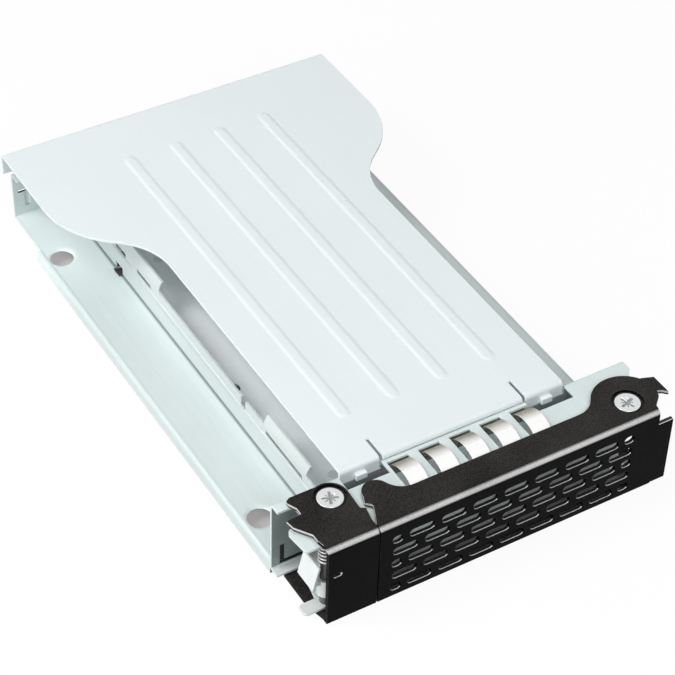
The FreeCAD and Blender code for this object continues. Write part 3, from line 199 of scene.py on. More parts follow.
def objectPlace(tree):  # x, y and z on the piece
    place = addNode(tree, "ShaderNodeTexCoord")
    split = addNode(tree, "ShaderNodeSeparateXYZ")
    tree.links.new(place.outputs["Object"], split.inputs[0])
    return split.outputs


def fromMiddle(tree, place):  # how far left or right of the tray's middle
    return sums(tree, "ABSOLUTE", sums(tree, "SUBTRACT", place[0], trayMiddle * mm), 0.0)


def whiteRays(tree):  # 1 where the eye, a reflection or glass looks straight at it
    path = addNode(tree, "ShaderNodeLightPath")
    seen = sums(tree, "MAXIMUM", path.outputs["Is Camera Ray"], path.outputs["Is Glossy Ray"])
    return sums(tree, "MAXIMUM", seen, path.outputs["Is Transmission Ray"])


def makeFloorPaint():
    paint = bpy.data.materials.new("floorPaint")
    paint.use_nodes = True
    tree = paint.node_tree
    tree.nodes.remove(tree.nodes["Principled BSDF"])
    seen = whiteRays(tree)
    place = objectPlace(tree)
    wide = fromMiddle(tree, place)
    outside = sums(tree, "MAXIMUM", spreadMm(tree, place[1], *studioSet["greyFront"]),
                   spreadMm(tree, place[1], *studioSet["greyRear"]))
    outside = sums(tree, "MAXIMUM", outside, spreadMm(tree, wide, *studioSet["greyWide"]))
    # painted light under the wings, painted shade under the rest of the tray
    wingLight = product(tree, spreadMm(tree, wide, *studioSet["wingFrom"]), studioSet["wingPaintedLight"],
                   spreadMm(tree, place[1], *studioSet["wingFront"]))
    matte = addNode(tree, "ShaderNodeBsdfDiffuse")
    shadedLook = blendColour(tree, outside, studioSet["underShade"], studioSet["floorSeen"])
    tree.links.new(blendColour(tree, seen, studioSet["floorColour"], shadedLook), matte.inputs["Color"])
    glow = addNode(tree, "ShaderNodeEmission")
    tree.links.new(blendColour(tree, outside, studioSet["underShadeTint"], white), glow.inputs["Color"])
    share = sums(tree, "MAXIMUM", wingLight, product(tree, outside, studioSet["floorGlow"]))
    blendShaders(tree, product(tree, seen, share), matte, glow, "Material Output")
    return paint


bpy.ops.mesh.primitive_plane_add(size=studioSet["floorSize"], location=(0, 0, -studioSet["floorDrop"]))
studioFloor = bpy.context.object
studioFloor.name = "studioFloor"
studioFloor.data.materials.append(makeFloorPaint())

world = bpy.data.worlds.new("studioWorld")
scene.world = world
world.use_nodes = True
worldTree = world.node_tree
softSky = worldTree.nodes["Background"]
softSky.inputs["Color"].default_value = studioSet["skyColour"]
softSky.inputs["Strength"].default_value = studioSet["skyStrength"]
plainWhite = addNode(worldTree, "ShaderNodeBackground")
plainWhite.inputs["Color"].default_value = (*white, 1)
blendShaders(worldTree, whiteRays(worldTree), softSky, plainWhite, "World Output")

for lampName, lampPlace, lampSize, lampWatts in studioSet["lamps"]:
    bpy.ops.object.light_add(type="AREA", location=lampPlace)
    lamp = bpy.context.object
    lamp.name = lampName
    lamp.data.size = lampSize
    lamp.data.energy = lampWatts
    lamp.rotation_euler = (-Vector(lampPlace)).to_track_quat("-Z", "Y").to_euler()
print("studio set")

# finishes
grainSharp = 0.55
edgeSet = {"samples": 6, "span": (0.995, 0.82)}  # how far the rounded normal leaves the plain one on an edge


def newFinish(name):
    finish = bpy.data.materials.new(name)
    finish.use_nodes = True
    return finish, finish.node_tree, finish.node_tree.nodes["Principled BSDF"]


def grain(tree, scale, detail=3.0, stretch=(1, 1, 1)):
    place = addNode(tree, "ShaderNodeTexCoord")
    mapping = addNode(tree, "ShaderNodeMapping")
    mapping.inputs["Scale"].default_value = stretch
    noise = addNode(tree, "ShaderNodeTexNoise")
    noise.inputs["Scale"].default_value = scale
    noise.inputs["Detail"].default_value = detail
    noise.inputs["Roughness"].default_value = grainSharp
    tree.links.new(place.outputs["Object"], mapping.inputs["Vector"])
    tree.links.new(mapping.outputs["Vector"], noise.inputs["Vector"])
    return noise.outputs["Fac"]


def edgeShare(tree, radius, broken):  # 1 along the edges, broken up by a grain
    rounded = addNode(tree, "ShaderNodeBevel", samples=edgeSet["samples"])
    rounded.inputs["Radius"].default_value = radius * mm
    plain = addNode(tree, "ShaderNodeNewGeometry")
    match = addNode(tree, "ShaderNodeVectorMath", operation="DOT_PRODUCT")
    tree.links.new(rounded.outputs["Normal"], match.inputs[0])
    tree.links.new(plain.outputs["Normal"], match.inputs[1])
    return product(tree, spread(tree, match.outputs["Value"], *edgeSet["span"]), broken)


def relief(tree, shader, height, strength, distance):
    bump = addNode(tree, "ShaderNodeBump")
    bump.inputs["Strength"].default_value = strength
    bump.inputs["Distance"].default_value = distance * mm
    tree.links.new(height, bump.inputs["Height"])
    tree.links.new(bump.outputs["Normal"], shader.inputs["Normal"])


sheetLooks = {
    "zincSheet": {"pale": (0.70, 0.785, 0.775), "dark": (0.62, 0.71, 0.705), "edge": (0.90, 0.94, 0.94),
                  "metal": 0.18, "rough": (0.34, 0.48), "streak": (1400, 60, 1400)},
    "trayZinc": {"pale": (0.67, 0.745, 0.735), "dark": (0.615, 0.69, 0.682), "edge": (0.90, 0.94, 0.94),
                 "metal": 0.18, "rough": (0.34, 0.48), "streak": (700, 40, 700)},
    "screwSteel": {"pale": (0.74, 0.76, 0.76), "dark": (0.64, 0.66, 0.66), "edge": (0.90, 0.92, 0.92),
                   "metal": 0.6, "rough": (0.26, 0.38), "streak": (700, 700, 700)},
    # painted shade: a darker copy of the bracket's zinc for the front of its web
    "webZincShaded": {"pale": (0.26, 0.31, 0.305), "dark": (0.21, 0.255, 0.25), "edge": (0.80, 0.85, 0.85),
                "metal": 0.15, "rough": (0.36, 0.50), "streak": (60, 700, 700)},
    "tongueZinc": {"pale": (0.72, 0.76, 0.75), "dark": (0.65, 0.69, 0.68), "edge": (0.85, 0.87, 0.86),
                   "metal": 0.15, "rough": (0.36, 0.50), "streak": (60, 700, 700)},
    # painted light: a paler copy of the cradle's zinc for its floor inside
    "cradleFloorLit": {"pale": (0.95, 0.975, 0.975), "dark": (0.91, 0.945, 0.945), "edge": (0.95, 0.97, 0.97),
                    "metal": 0.10, "rough": (0.34, 0.48), "streak": (700, 40, 700)},
    # painted shade: a darker copy of the same zinc for the cradle's walls
    "cradleZincShaded": {"pale": (0.635, 0.69, 0.685), "dark": (0.58, 0.635, 0.63), "edge": (0.86, 0.90, 0.90),
                   "metal": 0.18, "rough": (0.34, 0.48), "streak": (700, 40, 700)},
    "darkSteel": {"pale": (0.16, 0.165, 0.165), "dark": (0.10, 0.105, 0.105), "edge": (0.45, 0.46, 0.46),
                  "metal": 0.5, "rough": (0.35, 0.5), "streak": (700, 700, 700)},
    "slitShade": {"pale": (0.030, 0.034, 0.034), "dark": (0.018, 0.020, 0.020), "edge": (0.04, 0.045, 0.045),
                  "metal": 0.0, "rough": (0.60, 0.75), "streak": (900, 900, 900)},
    "coverSheet": {"pale": (0.80, 0.855, 0.87), "dark": (0.77, 0.83, 0.845), "edge": (0.93, 0.96, 0.97),
                   "metal": 0.05, "rough": (0.54, 0.64), "gloss": 0.2, "streak": (1400, 60, 1400)},
    "brightSteel": {"pale": (0.80, 0.84, 0.84), "dark": (0.74, 0.78, 0.78), "edge": (0.93, 0.95, 0.95),
                    "metal": 0.3, "rough": (0.28, 0.40), "streak": (300, 300, 300)},
    "slotSteelAndHighlight": {"pale": (0.95, 0.95, 0.94), "dark": (0.80, 0.80, 0.79), "edge": (0.95, 0.95, 0.94),
                  "metal": 0.3, "rough": (0.35, 0.55), "streak": (2600, 2600, 2600)},
    "cutSteelAndHighlight": {"pale": (0.62, 0.62, 0.61), "dark": (0.46, 0.46, 0.45), "edge": (0.75, 0.75, 0.74),
                 "metal": 0.3, "rough": (0.35, 0.55), "streak": (2600, 2600, 2600)},
}
traySeam = {  # mm; four places of a hump: starts, full, full, ends
    "floorTop": (4.35, 4.31),
    "rearFrom": (42.0, 66.0), "rearPaintedLight": (0.80, 0.88, 0.87),  # the rear of the wings painted paler: painted light against the cover's shadow
    "foot": (35.25, 35.55, 36.15, 36.75), "footShade": (0.20, 0.24, 0.24), "footShadeShare": 0.85,  # painted shade where the cradle stands
    "fold": (51.0, 51.7, 52.9, 52.95), "foldHigh": (3.4, 3.8),  # painted shade on the fold along both sides
    "foldShade": (0.56, 0.64, 0.635), "foldShadeShare": 0.8,
}
footWindowShade = {"along": (47.3, 47.6, 58.0, 58.3), "across": (29.2, 29.5, 35.3, 35.6), "below": (6.0, 5.8),
              "dark": (0.010, 0.010, 0.010)}  # mm; painted shade in the hollow behind each foot cut-out
creaseShade = {"along": (-18.5, -17.5, 27.0, 28.0), "high": 10.4, "half": (0.16, 0.064), "share": 0.7,
              "dark": (0.36, 0.33, 0.31)}  # mm; painted shade along a crease on the outer walls
tongueShade = {"along": (-76.5, -87.0), "across": (-40.0, -37.0), "dark": (0.14, 0.137, 0.13)}  # mm; painted shade on the tongue under the handle
coatSet = {"dark": (0.010, 0.010, 0.0095), "slotDeep": (0.20, 0.30), "outlineHigh": (26.74, 26.62)}  # mm; powder beyond the thin bare strips, which are partly bare steel and partly a painted highlight
recessShade = {"below": (26.82, 26.76), "dark": (0.30, 0.31, 0.31)}  # mm; painted shade in the recess of the pivot screws


def trayMarks(tree, body):  # painted light on the rear of the wings, painted shade along the cradle's feet and along the side folds
    place = objectPlace(tree)
    wide = fromMiddle(tree, place)
    onFloor = spreadMm(tree, place[2], *traySeam["floorTop"])
    rear = product(tree, spreadMm(tree, place[1], *traySeam["rearFrom"]), onFloor)
    body = blendColour(tree, rear, body, traySeam["rearPaintedLight"])
    foot = product(tree, hump(tree, wide, *traySeam["foot"]), onFloor, traySeam["footShadeShare"])
    body = blendColour(tree, foot, body, traySeam["footShade"])
    fold = product(tree, hump(tree, wide, *traySeam["fold"]), spreadMm(tree, place[2], *traySeam["foldHigh"]),
                   traySeam["foldShadeShare"])
    return blendColour(tree, fold, body, traySeam["foldShade"])


def cradleMarks(tree, body):  # painted shade in the hollow behind each foot cut-out and along the crease on the walls
    place = objectPlace(tree)
    inside = product(tree, spreadMm(tree, place[2], *footWindowShade["below"]),
                     hump(tree, fromMiddle(tree, place), *footWindowShade["across"]),
                     hump(tree, place[1], *footWindowShade["along"]))
    body = blendColour(tree, inside, body, footWindowShade["dark"])
    off = sums(tree, "ABSOLUTE", sums(tree, "SUBTRACT", place[2], creaseShade["high"] * mm), 0.0)
    crease = product(tree, spreadMm(tree, off, *creaseShade["half"], 0.0, creaseShade["share"]),
                     hump(tree, place[1], *creaseShade["along"]))
    return blendColour(tree, crease, body, creaseShade["dark"])


def tongueMarks(tree, body):  # painted shade: grey under the handle, seen through the slots
    place = objectPlace(tree)
    tongueShadeShare = product(tree, spreadMm(tree, place[1], *tongueShade["along"]), spreadMm(tree, place[0], *tongueShade["across"]))
    return blendColour(tree, tongueShadeShare, body, tongueShade["dark"])


def slotMarks(tree, body):  # bare steel only on the front edge of each slot, powder elsewhere: partly bare steel, partly a painted highlight
    depth = sums(tree, "SUBTRACT", objectPlace(tree)[1], frontFace)
    return blendColour(tree, spreadMm(tree, depth, *coatSet["slotDeep"]), body, coatSet["dark"])


def outlineMarks(tree, body):  # and powder on the lower half of the punched outline, bare steel on its upper edge: partly a painted highlight
    return blendColour(tree, spreadMm(tree, objectPlace(tree)[2], *coatSet["outlineHigh"]), body, coatSet["dark"])


def screwMarks(tree, body):  # painted shade in the recess of the pivot screws
    return blendColour(tree, spreadMm(tree, objectPlace(tree)[2], *recessShade["below"]), body, recessShade["dark"])


sheetMarks = {"trayZinc": trayMarks, "cradleZincShaded": cradleMarks, "cradleFloorLit": cradleMarks, "tongueZinc": tongueMarks,
              "slotSteelAndHighlight": slotMarks, "cutSteelAndHighlight": outlineMarks, "screwSteel": screwMarks}
sheetGrain = {
    "streakScale": 1.0, "streakDetail": 4.0, "cloudScale": 22.0, "fineScale": 5200.0, "fineDetail": 2.0,
    "tone": (0.4, 0.6), "toneSpan": (0.36, 0.64), "roughMix": (0.5, 0.5), "roughSpan": (0.35, 0.65),
    "edge": 0.2, "wearScale": 420.0, "wear": (0.3, 0.55, 0.45, 1.0), "relief": (1.0, 0.6), "bump": (0.08, 0.05),
    "gloss": 0.5,
}


def makeSheet(name):
    look = sheetLooks[name]
    finish, tree, shader = newFinish(name)
    streaks = grain(tree, sheetGrain["streakScale"], sheetGrain["streakDetail"], look["streak"])
    clouds = grain(tree, sheetGrain["cloudScale"])
    fine = grain(tree, sheetGrain["fineScale"], sheetGrain["fineDetail"])
    tone = weigh(tree, streaks, clouds, sheetGrain["tone"])
    body = blendColour(tree, spread(tree, tone, *sheetGrain["toneSpan"]), look["dark"], look["pale"])
    if name in sheetMarks:
        body = sheetMarks[name](tree, body)
    wear = spread(tree, grain(tree, sheetGrain["wearScale"]), *sheetGrain["wear"])
    edge = edgeShare(tree, sheetGrain["edge"], wear)
    tree.links.new(blendColour(tree, edge, body, look["edge"]), shader.inputs["Base Color"])
    shader.inputs["Metallic"].default_value = look["metal"]
    shader.inputs["Specular IOR Level"].default_value = look.get("gloss", sheetGrain["gloss"])
    rough = spread(tree, weigh(tree, streaks, fine, sheetGrain["roughMix"]), *sheetGrain["roughSpan"], *look["rough"])
    tree.links.new(rough, shader.inputs["Roughness"])
    relief(tree, shader, weigh(tree, fine, streaks, sheetGrain["relief"]), *sheetGrain["bump"])
    return finish


springLook = {
    "front": (0.95, 0.95, 0.94), "rear": (0.30, 0.265, 0.215), "coil": (0.62, 0.62, 0.61),
    "turnsAt": (-76.6, -73.2),  # mm along: painted reflection, bright at the front of the fingers, dark brown at their rear
    "reflectionShare": (0.3, 0.7, 0.75, 1.0), "edge": 0.12, "wireAt": (-40.0, -44.0),  # mm across: the coil, left of the strip
    "fineScale": 400.0, "cloudScale": 160.0, "detail": 2.0,
    "metal": 0.6, "rough": (0.35, 0.65, 0.27, 0.30), "bump": (0.02, 0.02),
}


def makeSpring():  # bright strip and wire, with a painted reflection that turns dark brown towards the rear of the fingers
    finish, tree, shader = newFinish("springSteel")
    place = objectPlace(tree)
    fine = grain(tree, springLook["fineScale"], springLook["detail"])
    clouds = grain(tree, springLook["cloudScale"], springLook["detail"])
    reflectionShare = product(tree, spreadMm(tree, place[1], *springLook["turnsAt"]), spread(tree, clouds, *springLook["reflectionShare"]))
    strip = blendColour(tree, reflectionShare, springLook["front"], springLook["rear"])
    strip = blendColour(tree, edgeShare(tree, springLook["edge"], 1.0), strip, springLook["front"])
    wire = spreadMm(tree, place[0], *springLook["wireAt"])
    tree.links.new(blendColour(tree, wire, strip, springLook["coil"]), shader.inputs["Base Color"])
    shader.inputs["Metallic"].default_value = springLook["metal"]
    tree.links.new(spread(tree, fine, *springLook["rough"]), shader.inputs["Roughness"])
    relief(tree, shader, clouds, *springLook["bump"])
    return finish


powderLook = {
    "low": (0.001, 0.001, 0.001), "high": (0.004, 0.0038, 0.0036), "edge": (0.13, 0.13, 0.127),
    "dustAndLightLow": (0.011, 0.0104, 0.0098), "dustAndLightHigh": (0.050, 0.047, 0.0435),  # on what faces up: partly dust, partly painted light from above
    "dustAndLightFacing": (0.35, 0.9), "fineScale": 3600.0, "coarseScale": 900.0, "cloudScale": 60.0, "detail": 2.0,
    "speck": (0.7, 0.3), "speckSpan": (0.38, 0.66),
    "foldHighlight": (0.74, 0.74, 0.735), "foldHigh": (25.65, 26.05), "foldBack": (2.0, 1.9),  # mm; the painted highlight along the fold
    "foldEnds": (28.2, 27.2), "foldHighlightGrain": (0.30, 0.60, 0.6, 1.0),  # mm of height plus depth where the stripe ends
    "edgeRadius": 0.16, "edgeWear": (0.38, 0.62), "rough": (0.3, 0.7, 0.38, 0.52), "gloss": 0.03,
    "relief": (1.0, 0.5), "bump": (0.35, 0.06),
}


def makePowder():
    finish, tree, shader = newFinish("blackPowder")
    fine = grain(tree, powderLook["fineScale"], powderLook["detail"])
    coarse = grain(tree, powderLook["coarseScale"])
    clouds = grain(tree, powderLook["cloudScale"], powderLook["detail"])
    speck = weigh(tree, fine, clouds, powderLook["speck"])
    grains = spread(tree, speck, *powderLook["speckSpan"])
    body = blendColour(tree, grains, powderLook["low"], powderLook["high"])
    # lighter on what faces up: partly dust, partly painted light
    dustAndLight = blendColour(tree, grains, powderLook["dustAndLightLow"], powderLook["dustAndLightHigh"])
    facing = addNode(tree, "ShaderNodeSeparateXYZ")
    tree.links.new(addNode(tree, "ShaderNodeNewGeometry").outputs["Normal"], facing.inputs[0])
    body = blendColour(tree, spread(tree, facing.outputs[2], *powderLook["dustAndLightFacing"]), body, dustAndLight)
    place = objectPlace(tree)
    depth = sums(tree, "SUBTRACT", place[1], frontFace)
    # painted highlight along the top front fold, broken up by the grain
    fold = product(tree, spreadMm(tree, sums(tree, "ADD", place[2], depth), *powderLook["foldEnds"]),
                   spreadMm(tree, place[2], *powderLook["foldHigh"]), spreadMm(tree, depth, *powderLook["foldBack"]),
                   spread(tree, speck, *powderLook["foldHighlightGrain"]))
    body = blendColour(tree, fold, body, powderLook["foldHighlight"])
    edge = edgeShare(tree, powderLook["edgeRadius"], spread(tree, coarse, *powderLook["edgeWear"]))
    tree.links.new(blendColour(tree, edge, body, powderLook["edge"]), shader.inputs["Base Color"])
    tree.links.new(spread(tree, coarse, *powderLook["rough"]), shader.inputs["Roughness"])
    shader.inputs["Specular IOR Level"].default_value = powderLook["gloss"]
    relief(tree, shader, weigh(tree, fine, coarse, powderLook["relief"]), *powderLook["bump"])
    return finish


finishes = {name: makeSheet(name) for name in sheetLooks}
finishes["springSteel"] = makeSpring()
finishes["blackPowder"] = makePowder()
print("finishes made:", len(finishes))

# pieces
meshSet = {"merge": 0.002, "flatAngle": 0.5, "bevelAngle": 40, "smoothAngle": 38, "normalWeight": 80}  # mm, degrees


def pick(piece):  # the one selected and active object
    bpy.ops.object.select_all(action="DESELECT")
    piece.select_set(True)
    bpy.context.view_layer.objects.active = piece


def leaveEdit():
    bpy.ops.object.mode_set(mode="OBJECT")


def editAll(piece):  # all of a piece selected, left in edit mode
    pick(piece)
    bpy.ops.object.mode_set(mode="EDIT")
    bpy.ops.mesh.select_all(action="SELECT")


def editPick(piece, kind, test):  # faces or edges of a piece chosen by a test, left in edit mode
    pick(piece)
    bpy.ops.object.mode_set(mode="EDIT")
    bpy.ops.mesh.select_mode(type=kind)
    bpy.ops.mesh.select_all(action="DESELECT")
    leaveEdit()
    for part in (piece.data.polygons if kind == "FACE" else piece.data.edges):
        part.select = bool(test(part))
    bpy.ops.object.mode_set(mode="EDIT")


def heights(piece, part):
    return [piece.data.vertices[i].co.z for i in part.vertices]


def across(point):  # mm left or right of the tray's middle
    return abs(point.x / mm - trayMiddle)


def trim(piece, kind, **values):  # a modifier added and applied
    pick(piece)
    step = piece.modifiers.new("trim", kind)
    for key, value in values.items():
        setattr(step, key, value)
    bpy.ops.object.modifier_apply(modifier="trim")


def smooth(piece, angle=meshSet["smoothAngle"]):
    pick(piece)
    bpy.ops.object.shade_smooth_by_angle(angle=math.radians(angle))
    trim(piece, "WEIGHTED_NORMAL", mode="FACE_AREA", weight=meshSet["normalWeight"], keep_sharp=True)


def assign(piece, finishName, test):  # a second finish on the faces that a test chooses
    piece.data.materials.append(finishes[finishName])
    editPick(piece, "FACE", test)
    piece.active_material_index = len(piece.data.materials) - 1
    bpy.ops.object.material_slot_assign()
    leaveEdit()


def carve(piece, cutter):  # takes a cutter's shape out of a piece
    trim(piece, "BOOLEAN", object=cutter, operation="DIFFERENCE", solver="EXACT")
    bpy.data.objects.remove(cutter)


def cutOut(piece, addCutter, place, **sizes):  # a round cutter at a place in mm
    bpy.ops.object.select_all(action="DESELECT")
    addCutter(location=[v * mm for v in place], **sizes)
    cutter = bpy.context.object
    bpy.ops.object.transform_apply(location=True, rotation=False, scale=False)
    carve(piece, cutter)


def settle(piece, finishName, body, *replaced):
    piece.data.materials.clear()
    piece.data.materials.append(finishes[finishName])
    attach(piece, body)
    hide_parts(*replaced)


def mergedCopy(nodeName, pieceName):  # a node's shape as one closed mesh
    pick(nodes[nodeName])
    bpy.ops.object.duplicate()
    piece = bpy.context.object
    piece.name = pieceName
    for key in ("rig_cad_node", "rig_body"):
        if key in piece:
            del piece[key]
    editAll(piece)
    bpy.ops.mesh.remove_doubles(threshold=meshSet["merge"] * mm)
    bpy.ops.mesh.customdata_custom_splitnormals_clear()
    bpy.ops.mesh.dissolve_limited(angle_limit=math.radians(meshSet["flatAngle"]))
    leaveEdit()
    return piece


def takeOffEdges(piece, soft, steps):
    corners = [Vector(corner) for corner in piece.bound_box]
    low = [min(corner[i] for corner in corners) for i in range(3)]
    high = [max(corner[i] for corner in corners) for i in range(3)]
    if soft:
        trim(piece, "BEVEL", width=soft * mm, segments=steps, limit_method="ANGLE",
             angle_limit=math.radians(meshSet["bevelAngle"]), use_clamp_overlap=False)
    for point in piece.data.vertices:  # no corner leaves the sheet's own box
        point.co = [min(max(point.co[i], low[i]), high[i]) for i in range(3)]
    smooth(piece)


sheetPieces = {  # CAD node: piece, finish, body, edge in mm, steps
    "front_bracket": ("bracketSheet", "zincSheet", "carrier", 0.10, 2),
    "drive_cradle": ("cradleSheet", "cradleZincShaded", "carrier", 0.08, 2),
    "emi_finger_strip": ("fingerStrip", "springSteel", "carrier", 0.0, 0),
    "catch_lever": ("catchLever", "brightSteel", "catch", 0.08, 2),
    "catch_post": ("catchPost", "darkSteel", "carrier", 0.15, 2),
    "handle_washer": ("handleWasher", "brightSteel", "carrier", 0.05, 2),
    "cap_washer": ("capWasher", "brightSteel", "carrier", 0.05, 2),
    "handle_pivot_nut": ("handleNut", "brightSteel", "carrier", 0.15, 2),
    "cap_pivot_nut": ("capNut", "brightSteel", "carrier", 0.15, 2),
    "handle_lower_stud": ("handleStud", "brightSteel", "carrier", 0.06, 2),
    "cap_lower_stud": ("capStud", "brightSteel", "carrier", 0.06, 2),
    "bracket_rivets": ("bracketRivets", "brightSteel", "carrier", 0.35, 4),
    "cradle_rivets": ("cradleRivets", "brightSteel", "carrier", 0.15, 3),
}
windowSet = {"middles": [0.4 + 9.2 * i for i in range(-2, 3)], "half": 3.85, "along": (-82.3, -70.1),
             "above": 24.5, "near": 0.02, "rightIn": -0.9, "leftIn": 0.4}  # mm
footSet = {"across": (32.0, 37.5), "along": (48.8, 53.4), "top": 9.0, "near": 0.02, "down": -2.2}  # mm
bracketSet = {  # mm; facing: share of a normal
    "webFront": -69.1, "webBack": -68.3, "webNear": 0.1, "webFacing": -0.7, "slitAcross": (39.9, 50.9),
    "slitHigh": (3.0, 10.1), "slitFacing": 0.97, "tongueBelow": 5.6, "tongueGap": 1.0,
}
cradleSet = {"floorBelow": 6.0}  # mm


def windowEdge(side):  # the left or right edges of the five flange windows
    def test(point):
        off = min(abs(point.x / mm - middle - side * windowSet["half"]) for middle in windowSet["middles"])
        low, high = windowSet["along"]
        return off < windowSet["near"] and low < point.y / mm < high and point.z / mm > windowSet["above"]
    return test


def footTop(point):  # the upper edge of a foot cut-out
    inAlong = footSet["along"][0] < point.y / mm < footSet["along"][1]
    inAcross = footSet["across"][0] < across(point) < footSet["across"][1]
    return inAlong and inAcross and abs(point.z / mm - footSet["top"]) < footSet["near"]


edgeMoves = {  # CAD node: test of a point and how far its edges go, mm
    "front_bracket": ((windowEdge(1), (windowSet["rightIn"], 0, 0)), (windowEdge(-1), (windowSet["leftIn"], 0, 0))),
    "drive_cradle": ((footTop, (0, 0, footSet["down"])),),
}


def moveEdges(piece, *moves):
    for test, step in moves:
        editPick(piece, "EDGE", lambda edge: all(test(piece.data.vertices[i].co) for i in edge.vertices))
        bpy.ops.transform.translate(value=[v * mm for v in step])
        leaveEdit()


for nodeName, (pieceName, finishName, bodyName, softEdge, softSteps) in sheetPieces.items():
    softPiece = mergedCopy(nodeName, pieceName)
    moveEdges(softPiece, *edgeMoves.get(nodeName, ()))
    takeOffEdges(softPiece, softEdge, softSteps)
    settle(softPiece, finishName, bodyName, nodeName)


def onWeb(face):  # the front of the bracket's web
    off = abs(face.center.y / mm - bracketSet["webFront"])
    return face.normal.y < bracketSet["webFacing"] and off < bracketSet["webNear"]


def inSlit(face):  # the walls of the two relief slits in the web
    inWeb = bracketSet["webFront"] < face.center.y / mm < bracketSet["webBack"]
    inAcross = bracketSet["slitAcross"][0] < across(face.center) < bracketSet["slitAcross"][1]
    inHigh = bracketSet["slitHigh"][0] < face.center.z / mm < bracketSet["slitHigh"][1]
    return abs(face.normal.y) < bracketSet["slitFacing"] and inWeb and inAcross and inHigh


def onTongue(face):  # the upper side of the bracket's tongue
    beforeWeb = face.center.y / mm < bracketSet["webFront"] - bracketSet["tongueGap"]
    return face.normal.z > level and face.center.z / mm < bracketSet["tongueBelow"] and beforeWeb


bracketSheet = bpy.data.objects["bracketSheet"]
# the web's front in the darker copy of the zinc: painted shade
assign(bracketSheet, "webZincShaded", onWeb)
assign(bracketSheet, "slitShade", inSlit)
assign(bracketSheet, "tongueZinc", onTongue)
# the cradle's floor in the paler copy of its zinc: painted light
assign(bpy.data.objects["cradleSheet"], "cradleFloorLit",
       lambda face: face.normal.z > level and face.center.z / mm < cradleSet["floorBelow"])
print("sheet pieces softened:", len(sheetPieces))

# tray: soft edges, a pressed groove below each rear slot and a dish round each wing hole
traySet = {  # mm; facing: share of a normal
    "edge": 0.10, "edgeSteps": 2, "floorTop": 4.3, "wallFront": 88.7, "wallNear": 0.1, "wallFacing": 0.9,
    "grooveRadius": 1.1, "grooveDepth": 0.45, "grooveLow": 7.2, "grooveHigh": 12.6, "grooveSides": 28,
    "grooveAcross": (-47.9, 46.7),
    "holes": [(x, y) for x in (-48.225, 47.025) for y in (-53.5, 65.0)],
    "dishWide": 4.9, "dishNarrow": 3.45, "dishDeep": 0.5, "dishBelow": 0.2, "dishAbove": 0.4, "dishSides": 64,
    "lipFront": -68.3, "lipReach": 1.4, "lipAbove": 3.3, "lipWide": 51.6, "lipFacing": -0.2,
    "slotHigh": (12.35, 13.45), "slotWide": (44.5, 50.2),
}
traySheet = mergedCopy("tray", "traySheet")
for grooveAt in traySet["grooveAcross"]:
    grooveTall = traySet["grooveHigh"] - traySet["grooveLow"]
    grooveMid = traySet["wallFront"] + traySet["grooveDepth"] - traySet["grooveRadius"]
    cutOut(traySheet, bpy.ops.mesh.primitive_cylinder_add, (grooveAt, grooveMid, traySet["grooveLow"] + grooveTall / 2),
           vertices=traySet["grooveSides"], radius=traySet["grooveRadius"] * mm, depth=grooveTall * mm)
takeOffEdges(traySheet, traySet["edge"], traySet["edgeSteps"])
for holeX, holeY in traySet["holes"]:
    rise = (traySet["dishWide"] - traySet["dishNarrow"]) / traySet["dishDeep"]
    below, above = traySet["dishDeep"] + traySet["dishBelow"], traySet["dishAbove"]  # from the floor's top
    cutOut(traySheet, bpy.ops.mesh.primitive_cone_add, (holeX, holeY, traySet["floorTop"] + (above - below) / 2),
           vertices=traySet["dishSides"], depth=(below + above) * mm,
           radius1=(traySet["dishNarrow"] - rise * traySet["dishBelow"]) * mm,
           radius2=(traySet["dishWide"] + rise * traySet["dishAbove"]) * mm)
smooth(traySheet)
settle(traySheet, "trayZinc", "carrier", "tray")


def inTraySlit(face):  # the front of the lips behind the slits, and the walls of the rear slots
    wide, along, high = across(face.center), face.center.y / mm, face.center.z / mm
    onLip = (face.normal.y < traySet["lipFacing"] and along - traySet["lipFront"] < traySet["lipReach"]
             and high > traySet["lipAbove"] and wide < traySet["lipWide"])
    inWall = along > traySet["wallFront"] - traySet["wallNear"] and abs(face.normal.y) < traySet["wallFacing"]
    inRearSlot = (traySet["slotHigh"][0] < high < traySet["slotHigh"][1]
                  and traySet["slotWide"][0] < wide < traySet["slotWide"][1])
    return onLip or (inWall and inRearSlot)


assign(traySheet, "slitShade", inTraySlit)
print("tray done")

# cover: soft pressed ribs, soft edges
coverSet = {  # mm
    "top": 27.1, "ribTop": 27.5, "ribSeen": 27.38, "slope": 0.6, "spread": 0.6, "crown": 0.42, "crownSteps": 4,
    "ribHalf": 1.75, "ribAcross": (-22.65, -7.95, 6.75, 21.45), "ribFront": -52.7, "ribRear": 71.0,
    "edge": 0.10, "edgeSteps": 2, "near": 0.03, "touch": 0.01, "merge": 0.004,
}
coverT = mergedCopy("top_cover", "coverT")


def ribTops(high):  # the flat tops of the ribs
    return lambda face: face.normal.z > flat and min(heights(coverT, face)) > (high - coverSet["touch"]) * mm


